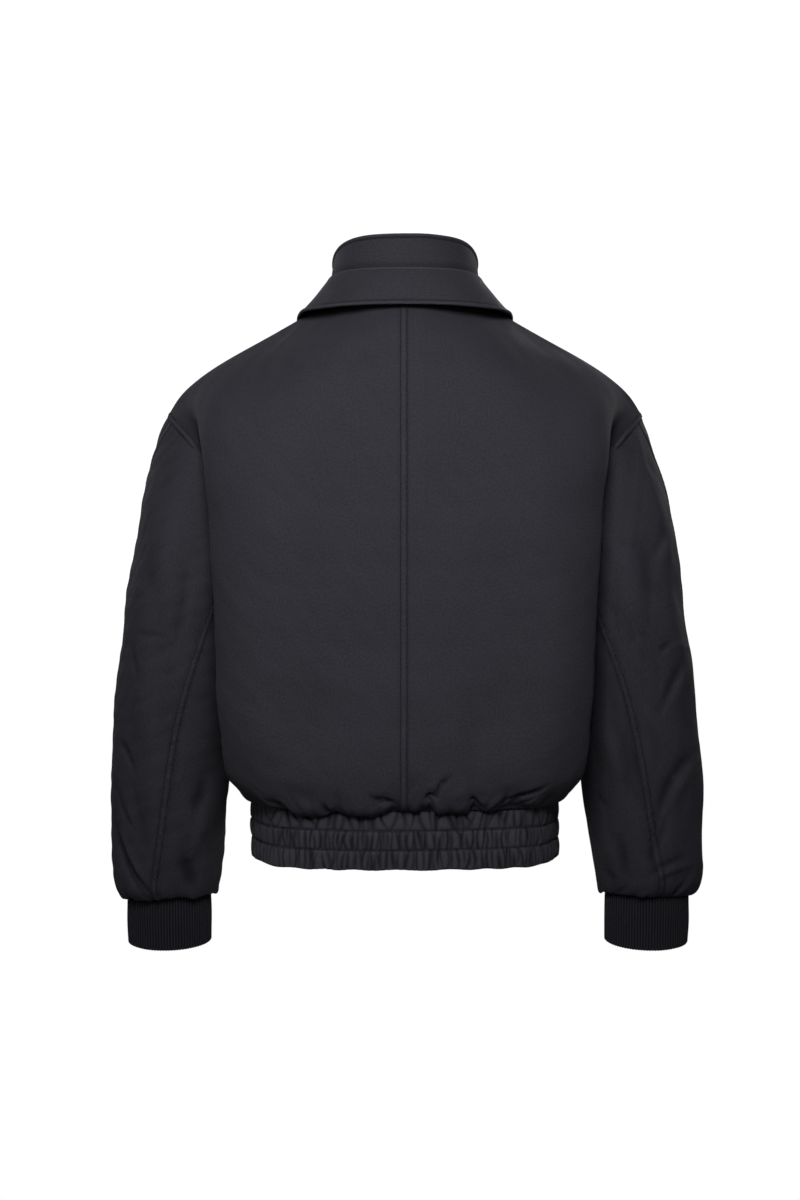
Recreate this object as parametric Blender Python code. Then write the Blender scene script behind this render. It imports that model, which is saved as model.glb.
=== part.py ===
"""Bomber jacket, filled out as it is worn, with nobody in it.

Metres. +Z is up, the front faces -Y and the wearer's left is +X. The origin lies in the middle of the neck,
level with the nape. Every cloth piece is a wall between an outer skin and an inner skin. A skin is a grid of
rows and columns, and pieces that are sewn together share the grid points of their seam.
"""
import math
from collections import namedtuple

import bmesh
import bpy
import numpy as np

# ---------------------------------------------------------------- driving dimensions
SEAM_GAP = 0.0003          # between two pieces that are sewn or laid together
ARMHOLE_GAP = 0.0005       # between body and sleeve, where both hang down from one seam
PANEL_WALL = 0.0020        # shell, its turnings and its inner face
COLLAR_WALL = 0.0022
BAND_WALL = 0.0024
CUFF_WALL = 0.0026

HEM_Z = -0.6310            # bottom of the waistband
WAIST_Z = -0.5627          # seam between body and waistband
UNDERARM_Z = -0.3450
FRONT_EDGE_X = 0.0045      # each front stops this far from the middle, for the zip

NECK_HALF_WIDTH = 0.083
NECK_MIDDLE_Y = 0.002
NECK_TO_NAPE = 0.078
NECK_TO_THROAT = 0.096
NECK_SIDE_RISE = 0.004
THROAT_DROP = 0.084
NECK_POINT_TURN = 0.5      # where the shoulder seam meets the neck; 0 is the nape, 1 the throat

STAND_HALF_WIDTH = 0.0825  # top edge of the stand collar
STAND_MIDDLE_Y = -0.020
STAND_DEPTH = 0.084
STAND_SIDE_Z = 0.048
STAND_BACK_RISE = 0.0275
STAND_FRONT_DROP = 0.051
STAND_BULGE = 0.0010
FALL_SHARES = (0.0, 0.3, 0.46, 1.0)        # from the nape to the throat
FALL_BULGES = (0.0045, 0.0015, -0.0012, 0.0035)   # how far the fall stands out halfway down

FOLD_ROUND = 0.0027        # radius of the fall collar's fold, outside
ROLL_SHARE_BACK = 0.44     # height of the fold, as a share of the stand collar
ROLL_SHARE_FRONT = 0.07

BACK_FLATNESS = 2.5        # exponent of the plan curve across the back and the front
BLADE_TURN = 31.0          # degrees round that curve, at the shoulder blade and the breast
YOKE_TURN = 58.0           # degrees round that curve, at the middle of the shoulder
VALLEY_SHARE = 0.20        # how far the side still stands out halfway from the fold to the side seam

WRIST_SHIFT = {"left": -0.0040, "right": 0.0035}

# ---------------------------------------------------------------- the cut, level by level
# Rings of the body below the arms, from the waist seam up. fold = the back edge that hangs beside the
# sleeve, side = the side seam, breast = the front edge beside the sleeve, edge = the front opening.
Ring = namedtuple("Ring", "z back_y fold_x fold_y side_x side_y breast_x breast_y edge_y edge_z")
RINGS = (
    Ring(WAIST_Z, 0.1200, 0.1690, 0.0400, 0.1762, -0.0030, 0.1690, -0.0460, -0.1260, -0.5627),
    Ring(-0.5668, 0.1252, 0.1738, 0.0430, 0.1790, -0.0030, 0.1730, -0.0490, -0.1268, -0.5590),
    Ring(-0.5640, 0.1325, 0.1800, 0.0480, 0.1812, -0.0035, 0.1780, -0.0550, -0.1276, -0.5550),
    Ring(-0.5535, 0.1392, 0.1880, 0.0560, 0.1835, -0.0045, 0.1840, -0.0650, -0.1292, -0.5480),
    Ring(-0.5380, 0.1438, 0.1970, 0.0640, 0.1855, -0.0060, 0.1900, -0.0750, -0.1325, -0.5340),
    Ring(-0.5130, 0.1465, 0.2035, 0.0740, 0.1872, -0.0070, 0.1940, -0.0850, -0.1370, -0.5110),
    Ring(-0.4440, 0.1482, 0.2095, 0.0880, 0.1880, -0.0080, 0.1990, -0.0950, -0.1442, -0.4440),
    Ring(-0.3880, 0.1490, 0.2115, 0.0920, 0.1868, -0.0080, 0.2030, -0.0980, -0.1460, -0.3880),
    Ring(UNDERARM_Z, 0.1500, 0.2125, 0.0930, 0.1890, -0.0080, 0.2060, -0.0980, -0.1465, UNDERARM_Z),
)
UNDERARM = len(RINGS) - 1

# Lines of the body above the arms, each from just over the underarm up to the shoulder or the neck.
Spot = namedtuple("Spot", "x y z")
BACK_MIDDLE = (Spot(0, 0.1502, -0.262), Spot(0, 0.1480, -0.190), Spot(0, 0.1390, -0.120), Spot(0, 0.1170, -0.050))
BLADE = (Spot(0.110, 0.1470, -0.265), Spot(0.110, 0.1430, -0.195), Spot(0.108, 0.1310, -0.130),
         Spot(0.099, 0.0930, -0.055))
BACK_YOKE = (Spot(0.1760, 0.1310, -0.270), Spot(0.1780, 0.1270, -0.205), Spot(0.1780, 0.1120, -0.145),
             Spot(0.1730, 0.0680, -0.087))
BACK_FOLD = (Spot(0.2140, 0.0940, -0.278), Spot(0.2175, 0.0880, -0.222), Spot(0.2240, 0.0710, -0.166),
             Spot(0.2345, 0.0400, -0.119))
BACK_VALLEY = (Spot(0.2010, 0.0640, -0.283), Spot(0.2060, 0.0620, -0.228), Spot(0.2195, 0.0560, -0.174),
               Spot(0.2425, 0.0240, -0.130))
BACK_SCYE = (Spot(0.1955, 0.0340, -0.288), Spot(0.2040, 0.0460, -0.228), Spot(0.2310, 0.0440, -0.166),
             Spot(0.2575, 0.0140, -0.136))
FRONT_MIDDLE = (Spot(FRONT_EDGE_X, -0.1455, -0.270), Spot(FRONT_EDGE_X, -0.1395, -0.205),
                Spot(FRONT_EDGE_X, -0.1290, -0.152), Spot(FRONT_EDGE_X, -0.1125, -0.112))
BREAST = (Spot(0.106, -0.1400, -0.268), Spot(0.107, -0.1330, -0.200), Spot(0.105, -0.1170, -0.130),
          Spot(0.099, -0.0720, -0.050))
FRONT_YOKE = (Spot(0.1720, -0.1240, -0.270), Spot(0.1740, -0.1170, -0.205), Spot(0.1740, -0.1000, -0.145),
              Spot(0.1710, -0.0600, -0.088))
FRONT_FOLD = (Spot(0.2080, -0.0990, -0.278), Spot(0.2130, -0.0940, -0.222), Spot(0.2210, -0.0800, -0.170),
              Spot(0.2335, -0.0520, -0.122))
FRONT_VALLEY = (Spot(0.1955, -0.0830, -0.289), Spot(0.2030, -0.0830, -0.234), Spot(0.2180, -0.0770, -0.180),
                Spot(0.2400, -0.0490, -0.134))
FRONT_SCYE = (Spot(0.1935, -0.0660, -0.300), Spot(0.2030, -0.0790, -0.240), Spot(0.2245, -0.0740, -0.185),
              Spot(0.2500, -0.0490, -0.142))
SHOULDER = (Spot(0.1650, -0.0060, -0.0425), Spot(0.2440, -0.0090, -0.0920), Spot(0.2580, -0.0115, -0.1060),
            Spot(0.2690, -0.0140, -0.1230))

# Columns between two lines, and rows between two levels.
BACK_COLUMNS = (4, 3, 2, 2, 1)
FRONT_COLUMNS = (6, 3, 2, 2, 1)
ROWS_BELOW = (1, 1, 1, 1, 1, 2, 1, 1)
ROWS_ABOVE = (2, 2, 2, 2, 2)

# Stations of the left sleeve, from the armhole down. outer and inner are the two ends of the section as seen
# from the back, mid_y and half_depth its middle and its half depth, tilt the degrees its back edge dips.
# outer_seam and elbow_seam are degrees round the section, from its outer end by way of the back.
Station = namedtuple("Station", "outer_x outer_z inner_x inner_z mid_y half_depth tilt outer_seam elbow_seam")
STATIONS = (
    Station(0.2690, -0.1230, 0.1890, -0.3450, -0.0150, 0.0655, 0.0, 12, 132),
    Station(0.2800, -0.1470, 0.1908, -0.3495, -0.0150, 0.0665, 0.0, 9, 131),
    Station(0.2917, -0.1850, 0.1926, -0.3545, -0.0150, 0.0680, 0.5, 3, 130),
    Station(0.3020, -0.2280, 0.1940, -0.3600, -0.0155, 0.0690, 1.0, -2, 129),
    Station(0.3130, -0.2860, 0.1950, -0.3690, -0.0165, 0.0695, 2.0, -6, 126),
    Station(0.3212, -0.3430, 0.1958, -0.3830, -0.0190, 0.0690, 3.0, -8, 120),
    Station(0.3293, -0.4060, 0.1970, -0.4220, -0.0245, 0.0670, 4.5, -10, 107),
    Station(0.3366, -0.4680, 0.1992, -0.4720, -0.0330, 0.0645, 6.0, -11, 97),
    Station(0.3425, -0.5280, 0.2025, -0.5270, -0.0425, 0.0625, 7.5, -12, 91),
    Station(0.3463, -0.5850, 0.2078, -0.5830, -0.0520, 0.0605, 9.0, -13, 87),
    Station(0.3471, -0.6320, 0.2140, -0.6300, -0.0600, 0.0580, 8.0, -14, 83),
    Station(0.3462, -0.6640, 0.2185, -0.6600, -0.0645, 0.0550, 4.0, -14, 80),
    Station(0.3415, -0.6845, 0.2225, -0.6790, -0.0665, 0.0510, -1.0, -14, 79),
    Station(0.3345, -0.6925, 0.2262, -0.6870, -0.0675, 0.0450, -4.0, -14, 78),
    Station(0.3302, -0.6870, 0.2318, -0.6820, -0.0680, 0.0385, -2.0, -14, 77),
)
CUFF_END = Station(0.3306, -0.7445, 0.2322, -0.7425, -0.0780, 0.0380, 11.0, -14, 77)
SCYE_PLACES = 3             # the armhole's own shape fades out over this many stations
ROWS_SLEEVE = (1,) * (len(STATIONS) - 1)
ROWS_CUFF = 2
ROWS_BAND = 1
ROWS_STAND = 3
ROWS_FALL = 3

# Outer edge of the fall collar, from the back to its point.
EdgeSpot = namedtuple("EdgeSpot", "turn x y z")
FALL_EDGE = (
    EdgeSpot(0.00, 0.0000, 0.0975, -0.0050),
    EdgeSpot(0.20, 0.0640, 0.0850, -0.0060),
    EdgeSpot(0.34, 0.1025, 0.0500, -0.0082),
    EdgeSpot(0.46, 0.1215, 0.0060, -0.0122),
    EdgeSpot(0.58, 0.1225, -0.0420, -0.0290),
    EdgeSpot(0.72, 0.1080, -0.0920, -0.0600),
    EdgeSpot(0.86, 0.0850, -0.1180, -0.0960),
    EdgeSpot(1.00, 0.0600, -0.1260, -0.1250),
)

# Zip
TEETH_HALF_WIDTH = 0.0030
TEETH_SINK = 0.0004         # the teeth lie this far behind the outer skin
TAPE_INNER_X = 0.0020
TAPE_OUTER_X = 0.0150
TAPE_WALL = 0.0008
TAPE_GAP = 0.0005           # the tapes lie this far behind the walls they are sewn to
BOX_HALF_WIDTH = 0.0040
BOX_HEIGHT = 0.0090
SLIDER_DROP = 0.0150        # middle of the slider below the top of the stand collar
SLIDER_HALF_WIDTH = 0.0048
SLIDER_HEIGHT = 0.0110
SLIDER_FRONT = (0.0004, 0.0018)     # front plate, out from the skin
SLIDER_BACK = (0.0042, 0.0054)      # back plate, in from the skin
WEB_HALF_WIDTH = 0.0014
WEB_HEIGHT = 0.0040
PIVOT_OUT = 0.0032          # axis of the pull tab, out from the skin
BRIDGE_INSIDE = 0.0029
BRIDGE_OUTSIDE = 0.0043
BRIDGE_HALF_WIDTH = 0.0010
PULL_LENGTH = 0.0300
PULL_HALF_WIDTH = 0.0035
PULL_WALL = 0.0016
EYE_HALF_WIDTH = 0.0017
EYE_BAR = 0.0014
EYE_REACH = 0.0056

COLOURS = {                 # linear colour, roughness, metallic
    "shell_cloth": ((0.030, 0.029, 0.035, 1.0), 0.62, 0.0),
    "collar_cloth": ((0.040, 0.040, 0.047, 1.0), 0.62, 0.0),
    "rib_knit": ((0.008, 0.008, 0.011, 1.0), 0.85, 0.0),
    "zip_tape": ((0.012, 0.012, 0.015, 1.0), 0.80, 0.0),
    "zip_metal": ((0.060, 0.060, 0.065, 1.0), 0.35, 1.0),
}


# ---------------------------------------------------------------- curves and grids
def unit(vectors):
    """Vectors of length one."""
    length = np.linalg.norm(vectors, axis=-1, keepdims=True)
    return vectors / np.maximum(length, 1e-12)


def smooth_curve(knots, points, at):
    """A natural cubic curve through points at the given knots, read at the values in at."""
    knots = np.asarray(knots, float)
    points = np.asarray(points, float)
    count = len(knots)
    span = np.diff(knots)
    slope = np.diff(points, axis=0) / span[:, None]
    matrix = np.eye(count)
    right = np.zeros_like(points)
    for i in range(1, count - 1):
        matrix[i, i - 1:i + 2] = span[i - 1], 2 * (span[i - 1] + span[i]), span[i]
        right[i] = 6 * (slope[i] - slope[i - 1])
    bend = np.linalg.solve(matrix, right)
    at = np.asarray(at, float)
    k = np.clip(np.searchsorted(knots, at, side="right") - 1, 0, count - 2)
    after = (at - knots[k])[:, None]
    before = (knots[k + 1] - at)[:, None]
    width = span[k][:, None]
    ends = (bend[k] * before ** 3 + bend[k + 1] * after ** 3) / (6 * width)
    start = points[k] / width - bend[k] * width / 6
    stop = points[k + 1] / width - bend[k + 1] * width / 6
    return ends + start * before + stop * after


def chord_knots(points):
    """Knots that grow with the distance between the points."""
    step = np.linalg.norm(np.diff(np.asarray(points, float), axis=0), axis=1)
    return np.concatenate([[0.0], np.cumsum(step)])


def between(knots, counts):
    """Evenly spaced values from knot to knot, counts[i] steps in gap i, both ends included."""
    values = [knots[0]]
    for i, count in enumerate(counts):
        for step in range(1, count + 1):
            values.append(knots[i] + (knots[i + 1] - knots[i]) * step / count)
    return np.array(values)


def across(points, counts, mirrored):
    """One row through the points of the lines. A mirrored row runs on past x = 0 to its other half."""
    points = np.asarray(points, float)
    if not mirrored:
        knots = chord_knots(points)
        return smooth_curve(knots, points, between(knots, counts))
    other = points[::-1] * (-1, 1, 1)
    if abs(points[0, 0]) < 1e-9:
        other = other[:-1]
    whole = np.concatenate([other, points])
    knots = chord_knots(whole)
    return smooth_curve(knots, whole, between(knots[len(other):], counts))


def grid_normals(grid, closed=False):
    """Normals of a grid, from the run of its rows and columns."""
    along = np.gradient(grid, axis=0)
    round_about = np.gradient(grid, axis=1)
    if closed:
        round_about[:, 0] = grid[:, 1] - grid[:, -2]
        round_about[:, -1] = round_about[:, 0]
    return unit(np.cross(round_about, along))


def pull_edges_in(grid, amount, closed=False):
    """The grid with its outermost rows and columns moved towards their neighbours."""
    moved = grid.copy()
    moved[0] += amount * unit(grid[1] - grid[0])
    moved[-1] += amount * unit(grid[-2] - grid[-1])
    if not closed:
        moved[:, 0] += amount * unit(grid[:, 1] - grid[:, 0])
        moved[:, -1] += amount * unit(grid[:, -2] - grid[:, -1])
    return moved


# ---------------------------------------------------------------- solids
def material(name):
    """The named material, made once."""
    if name in bpy.data.materials:
        return bpy.data.materials[name]
    colour, roughness, metallic = COLOURS[name]
    made = bpy.data.materials.new(name)
    made.use_nodes = True
    shader = made.node_tree.nodes["Principled BSDF"]
    shader.inputs["Base Color"].default_value = colour
    shader.inputs["Roughness"].default_value = roughness
    shader.inputs["Metallic"].default_value = metallic
    made.diffuse_color = colour
    return made


def add_object(name, mesh_data, material_name, smooth_angle=50.0):
    """An object of the scene from a bmesh, its faces turned outwards."""
    bmesh.ops.recalc_face_normals(mesh_data, faces=mesh_data.faces)
    mesh = bpy.data.meshes.new(name)
    mesh_data.to_mesh(mesh)
    mesh_data.free()
    mesh.materials.append(material(material_name))
    mesh.shade_smooth()
    mesh.set_sharp_from_angle(angle=math.radians(smooth_angle))
    made = bpy.data.objects.new(name, mesh)
    bpy.context.scene.collection.objects.link(made)
    return made


def rim_faces(made, front_one, front_two, back_one, back_two):
    """Two triangles of a rim, split along the shorter diagonal so that both sides of a seam split alike."""
    if (front_one.co - back_two.co).length > (front_two.co - back_one.co).length:
        front_one, front_two = front_two, front_one
        back_one, back_two = back_two, back_one
    made.faces.new((front_one, front_two, back_two))
    made.faces.new((front_one, back_two, back_one))


def wall(name, outer, inward, material_name, closed=False):
    """A cloth piece: the outer grid, the same grid moved inward, and the rim between them."""
    outer = pull_edges_in(outer, SEAM_GAP / 2, closed)
    inner = outer + inward
    rows, columns = outer.shape[:2]
    if closed:
        columns -= 1
    made = bmesh.new()
    skins = []
    for skin in (outer, inner):
        skins.append([[made.verts.new(skin[i, j]) for j in range(columns)] for i in range(rows)])
    steps = columns if closed else columns - 1
    for skin in skins:
        for i in range(rows - 1):
            for j in range(steps):
                k = (j + 1) % columns
                made.faces.new((skin[i][j], skin[i][k], skin[i + 1][k], skin[i + 1][j]))
    front, back = skins
    for i in (0, rows - 1):
        for j in range(steps):
            k = (j + 1) % columns
            rim_faces(made, front[i][j], front[i][k], back[i][j], back[i][k])
    if not closed:
        for j in (0, columns - 1):
            for i in range(rows - 1):
                rim_faces(made, front[i][j], front[i + 1][j], back[i][j], back[i + 1][j])
    return add_object(name, made, material_name)


# ---------------------------------------------------------------- neck and collars
def neck(turn):
    """Neck seam. turn runs from 0 at the nape to 1 at the throat, on the left; below 0 it is the right."""
    angle = math.pi * turn
    reach = NECK_TO_NAPE if math.cos(angle) > 0 else NECK_TO_THROAT
    x = NECK_HALF_WIDTH * math.sin(angle)
    y = NECK_MIDDLE_Y + reach * math.cos(angle)
    z = NECK_SIDE_RISE * math.sin(abs(angle)) ** 2
    if math.cos(angle) <= 0:
        z = NECK_SIDE_RISE - THROAT_DROP * abs(math.cos(angle)) ** 1.6
    return np.array((x, y, z))


def stand_top(turn):
    """Top edge of the stand collar, over the same turn of the neck."""
    angle = math.pi * turn
    swing = math.cos(angle)
    x = STAND_HALF_WIDTH * math.sin(angle)
    y = STAND_MIDDLE_Y + STAND_DEPTH * swing
    rise = STAND_BACK_RISE * (1 - (1 - swing) ** 1.6) if swing > 0 else -STAND_FRONT_DROP * abs(swing) ** 1.1
    return np.array((x, y, STAND_SIDE_Z + rise))


def stand_skin(turn, share):
    """A point of the stand collar's outer skin, share of the way up from the neck seam."""
    low = neck(turn)
    high = stand_top(turn)
    point = low + (high - low) * share
    outwards = unit(np.array((point[0], point[1] - NECK_MIDDLE_Y, 0.0)))
    return point + outwards * STAND_BULGE * 4 * share * (1 - share)


def front_end_turn():
    """The turn at which the neck seam reaches the front edge, beside the zip."""
    return 1 - math.asin(FRONT_EDGE_X / NECK_HALF_WIDTH) / math.pi


def neck_turns(back_steps, front_steps):
    """Turns of the left half, from the nape to the front edge, by way of the shoulder seam."""
    back = [NECK_POINT_TURN * i / back_steps for i in range(back_steps)]
    last = front_end_turn()
    front = [NECK_POINT_TURN + (last - NECK_POINT_TURN) * i / front_steps for i in range(front_steps + 1)]
    return back + front


def both_sides(turns):
    """The same turns from the right front edge round the nape to the left front edge."""
    return [-turn for turn in turns[:0:-1]] + list(turns)


def stand_grid(turns, shares):
    """Outer skin of the stand collar."""
    return np.array([[stand_skin(turn, share) for turn in turns] for share in shares])


def fall_edge(turn):
    """Outer edge of the fall collar."""
    last = front_end_turn()
    half = np.array([(spot.x, spot.y, spot.z) for spot in FALL_EDGE])
    knots = np.array([spot.turn for spot in FALL_EDGE])
    whole = np.concatenate([half[:0:-1] * (-1, 1, 1), half])
    both = np.concatenate([-knots[:0:-1], knots])
    return smooth_curve(both, whole, [turn / last])[0]


def fall_section(turn, fall_steps):
    """The fall collar's outer skin at one turn: up beside the stand collar, over the fold, down to the edge."""
    share = abs(turn) / front_end_turn()
    roll = ROLL_SHARE_BACK + (ROLL_SHARE_FRONT - ROLL_SHARE_BACK) * share ** 3
    here = stand_skin(turn, roll)
    upwards = unit(stand_skin(turn, roll + 0.02) - stand_skin(turn, roll - 0.02))
    sideways = stand_skin(turn + 0.01, roll) - stand_skin(turn - 0.01, roll)
    outwards = unit(np.cross(upwards, sideways))
    if outwards @ (here - (0, NECK_MIDDLE_Y, here[2])) < 0:
        outwards = -outwards
    points = []
    for part in (0.0, 0.5, 1.0):
        foot = stand_skin(turn, roll * part) + outwards * SEAM_GAP
        points.append(foot + upwards * 0.0006 * (1 - part))
    for bend in (45, 90, 135, 180):
        angle = math.radians(bend)
        centre = here + outwards * (SEAM_GAP + FOLD_ROUND)
        points.append(centre - outwards * FOLD_ROUND * math.cos(angle) + upwards * FOLD_ROUND * math.sin(angle))
    start = points[-1]
    stop = fall_edge(turn)
    out = unit(np.cross(stop - start, sideways))
    if out @ outwards < 0:
        out = -out
    bulge = np.interp(share, FALL_SHARES, FALL_BULGES)
    for step in range(1, fall_steps + 1):
        part = step / fall_steps
        points.append(start + (stop - start) * part + out * bulge * 4 * part * (1 - part))
    return points


def fall_grid(turns, fall_steps):
    """Outer skin of the fall collar."""
    return np.array([fall_section(turn, fall_steps) for turn in turns]).transpose(1, 0, 2)


# ---------------------------------------------------------------- body
def plan_quarter(half_width, reach, middle_y, turn):
    """A point of the plan curve from the middle of the back or front, turn degrees towards the side."""
    angle = math.radians(turn)
    power = 2 / BACK_FLATNESS
    return half_width * math.sin(angle) ** power, middle_y + reach * math.cos(angle) ** power


def ease(share):
    """A soft step from 1 to 0."""
    return 0.5 + 0.5 * math.cos(math.pi * share)


def ring_lines(ring):
    """Points of one ring on the back's six lines and the front's six lines."""
    back = [(0.0, ring.back_y, ring.z)]
    front = [(FRONT_EDGE_X, ring.edge_y, ring.edge_z)]
    for share, turn in ((0.55, BLADE_TURN), (0.9, YOKE_TURN)):
        x, y = plan_quarter(ring.fold_x, ring.back_y - ring.fold_y, ring.fold_y, turn)
        back.append((x, y, ring.z))
        x, y = plan_quarter(ring.breast_x, ring.edge_y - ring.breast_y, ring.breast_y, turn)
        front.append((x, y, ring.edge_z + (ring.z - ring.edge_z) * share))
    back.append((ring.fold_x, ring.fold_y, ring.z))
    front.append((ring.breast_x, ring.breast_y, ring.z))
    for line, top_x, top_y in ((back, ring.fold_x, ring.fold_y), (front, ring.breast_x, ring.breast_y)):
        x = ring.side_x + (top_x - ring.side_x) * VALLEY_SHARE
        y = (top_y + ring.side_y) / 2
        line.append((x, y, ring.z))
        line.append((ring.side_x, ring.side_y, ring.z))
    return back, front


def level_knots(net):
    """Knots up the body, from the mean distance between two levels."""
    step = np.linalg.norm(np.diff(net, axis=0), axis=2).mean(axis=1)
    return np.concatenate([[0.0], np.cumsum(step)])


def body_half(net, row_counts, column_counts, top_exact):
    """One panel of the body's left half: rows from the waist seam up, columns from the middle to the side."""
    knots = level_knots(net)
    values = between(knots, row_counts)
    lines = []
    for j in range(net.shape[1]):
        if j < net.shape[1] - 1:
            lines.append(smooth_curve(knots, net[:, j], values))
            continue
        split = sum(row_counts[:UNDERARM])
        below = smooth_curve(knots[:UNDERARM + 1], net[:UNDERARM + 1, j], values[:split + 1])
        above = smooth_curve(knots[UNDERARM:], net[UNDERARM:, j], values[split:])
        lines.append(np.concatenate([below, above[1:]]))
    lines = np.array(lines).transpose(1, 0, 2)
    grid = np.array([across(row, column_counts, True) for row in lines])
    drift = top_exact - grid[-1]
    for i, value in enumerate(values):
        share = max(0.0, (value - knots[-2]) / (knots[-1] - knots[-2]))
        grid[i] += drift * share ** 3
    return grid


def body_skins():
    """Outer skins of the left back and the left front."""
    back_net = []
    front_net = []
    for ring in RINGS:
        back, front = ring_lines(ring)
        back_net.append(back)
        front_net.append(front)
    for i in range(len(BACK_MIDDLE)):
        back_net.append([line[i] for line in (BACK_MIDDLE, BLADE, BACK_YOKE, BACK_FOLD, BACK_VALLEY, BACK_SCYE)])
        front_net.append([line[i] for line in
                          (FRONT_MIDDLE, BREAST, FRONT_YOKE, FRONT_FOLD, FRONT_VALLEY, FRONT_SCYE)])
    neck_point = neck(NECK_POINT_TURN)
    shoulder = np.array([neck_point] + [tuple(spot) for spot in SHOULDER])
    back_net.append([neck(0.0)] + list(shoulder))
    front_net.append([neck(front_end_turn())] + list(shoulder))
    turns = neck_turns(BACK_COLUMNS[0], FRONT_COLUMNS[0])
    along_shoulder = across(shoulder, BACK_COLUMNS[1:], False)
    back_top = np.array([neck(turn) for turn in turns[:BACK_COLUMNS[0]]] + list(along_shoulder))
    front_turns = turns[BACK_COLUMNS[0]:][::-1]
    front_top = np.array([neck(turn) for turn in front_turns[:-1]] + list(along_shoulder))
    rows = ROWS_BELOW + ROWS_ABOVE
    back = body_half(np.array(back_net), rows, BACK_COLUMNS, back_top)
    front = body_half(np.array(front_net), rows, FRONT_COLUMNS, front_top)
    back[:, 0, 0] = 0.0
    front[:, 0, 0] = FRONT_EDGE_X
    return back, front


# ---------------------------------------------------------------- sleeves
def section_point(station, angle):
    """A point of a sleeve section, angle degrees from its outer end by way of the back."""
    outer = np.array((station.outer_x, 0.0, station.outer_z))
    inner = np.array((station.inner_x, 0.0, station.inner_z))
    middle = (outer + inner) / 2 + (0.0, station.mid_y, 0.0)
    half = (outer - inner) / 2
    tilt = math.radians(station.tilt)
    back = np.array((0.0, math.cos(tilt), -math.sin(tilt))) * station.half_depth
    return middle + half * math.cos(math.radians(angle)) + back * math.sin(math.radians(angle))


def column_angles(station, columns, outer_column, elbow_column):
    """Degrees round the section for each column, so that the seams run along columns."""
    under = columns // 2
    keys = (outer_column, elbow_column, under, columns + outer_column)
    angles = (station.outer_seam, station.elbow_seam, 180.0, 360.0 + station.outer_seam)
    places = [j if j >= outer_column else j + columns for j in range(columns)]
    return np.interp(places, keys, angles)


def stations_between(counts):
    """The stations with more in between where counts asks for them."""
    table = np.array(STATIONS)
    middle = (table[:, (0, 1)] + table[:, (2, 3)]) / 2
    knots = chord_knots(np.column_stack([middle, table[:, 4:6]]))
    values = between(knots, counts)
    places = np.interp(values, knots, np.arange(len(STATIONS)))
    return [Station(*row) for row in smooth_curve(knots, table, values)], places


def sleeve_skin(scye):
    """Outer skin of the left sleeve. scye is the armhole's ring, from the shoulder by way of the back."""
    columns = len(scye)
    outer_column = columns // 20
    elbow_column = columns * 8 // 20
    stations, places = stations_between(ROWS_SLEEVE)
    first = [section_point(stations[0], angle)
             for angle in column_angles(stations[0], columns, outer_column, elbow_column)]
    drift = scye - np.array(first)
    grid = []
    for station, place in zip(stations, places):
        fade = ease(min(1.0, place / SCYE_PLACES))
        angles = column_angles(station, columns, outer_column, elbow_column)
        ring = np.array([section_point(station, angle) for angle in angles]) + drift * fade
        grid.append(np.concatenate([ring, ring[:1]]))
    return np.array(grid), outer_column, elbow_column


def wrist_shift(grid, side):
    """The lower sleeve moved outwards a little, by the amount of that side."""
    top = STATIONS[5].outer_z
    bottom = STATIONS[-1].outer_z
    share = np.clip((grid[..., 2] - top) / (bottom - top), 0, 1)
    moved = grid.copy()
    moved[..., 0] += WRIST_SHIFT[side] * share ** 2
    return moved


def cuff_skin(seam_ring, side, rows):
    """Outer skin of a cuff, from its seam with the sleeve down to the wrist opening."""
    columns = len(seam_ring) - 1
    angles = column_angles(CUFF_END, columns, columns // 20, columns * 8 // 20)
    end = np.array([section_point(CUFF_END, angle) for angle in angles])
    end[:, 0] += WRIST_SHIFT[side]
    end = np.concatenate([end, end[:1]])
    start = seam_ring + (0.0, 0.0, -SEAM_GAP)
    return np.array([start + (end - start) * i / rows for i in range(rows + 1)])


# ---------------------------------------------------------------- zip
def strip_at(rows, normals, walls, x_values):
    """A strip behind the front edge: each row's points at the given x, moved in past that row's wall."""
    grid = []
    for row, normal, thick in zip(rows, normals, walls):
        line = []
        for x in x_values:
            share = max(0.0, (x - row[0, 0]) / (row[1, 0] - row[0, 0]))
            point = row[0] + (row[1] - row[0]) * share
            direction = unit(normal[0] + (normal[1] - normal[0]) * share)
            line.append(np.array((x, point[1], point[2])) - direction * (thick + TAPE_GAP))
        grid.append(line)
    return np.array(grid)


def box_mesh(made, low, high):
    """Adds a box to a bmesh."""
    verts = [made.verts.new((x, y, z)) for x in (low[0], high[0]) for y in (low[1], high[1])
             for z in (low[2], high[2])]
    for face in ((0, 1, 3, 2), (4, 6, 7, 5), (0, 4, 5, 1), (2, 3, 7, 6), (0, 2, 6, 4), (1, 5, 7, 3)):
        made.faces.new([verts[i] for i in face])


def join_solid(target, tool):
    """Boolean union of tool into target; tool is a guide and isn't built."""
    tool.hide_render = True
    tool.display_type = "WIRE"
    tool.parent = target.parent
    union = target.modifiers.new("join_" + tool.name, "BOOLEAN")
    union.operation = "UNION"
    union.object = tool


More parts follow.
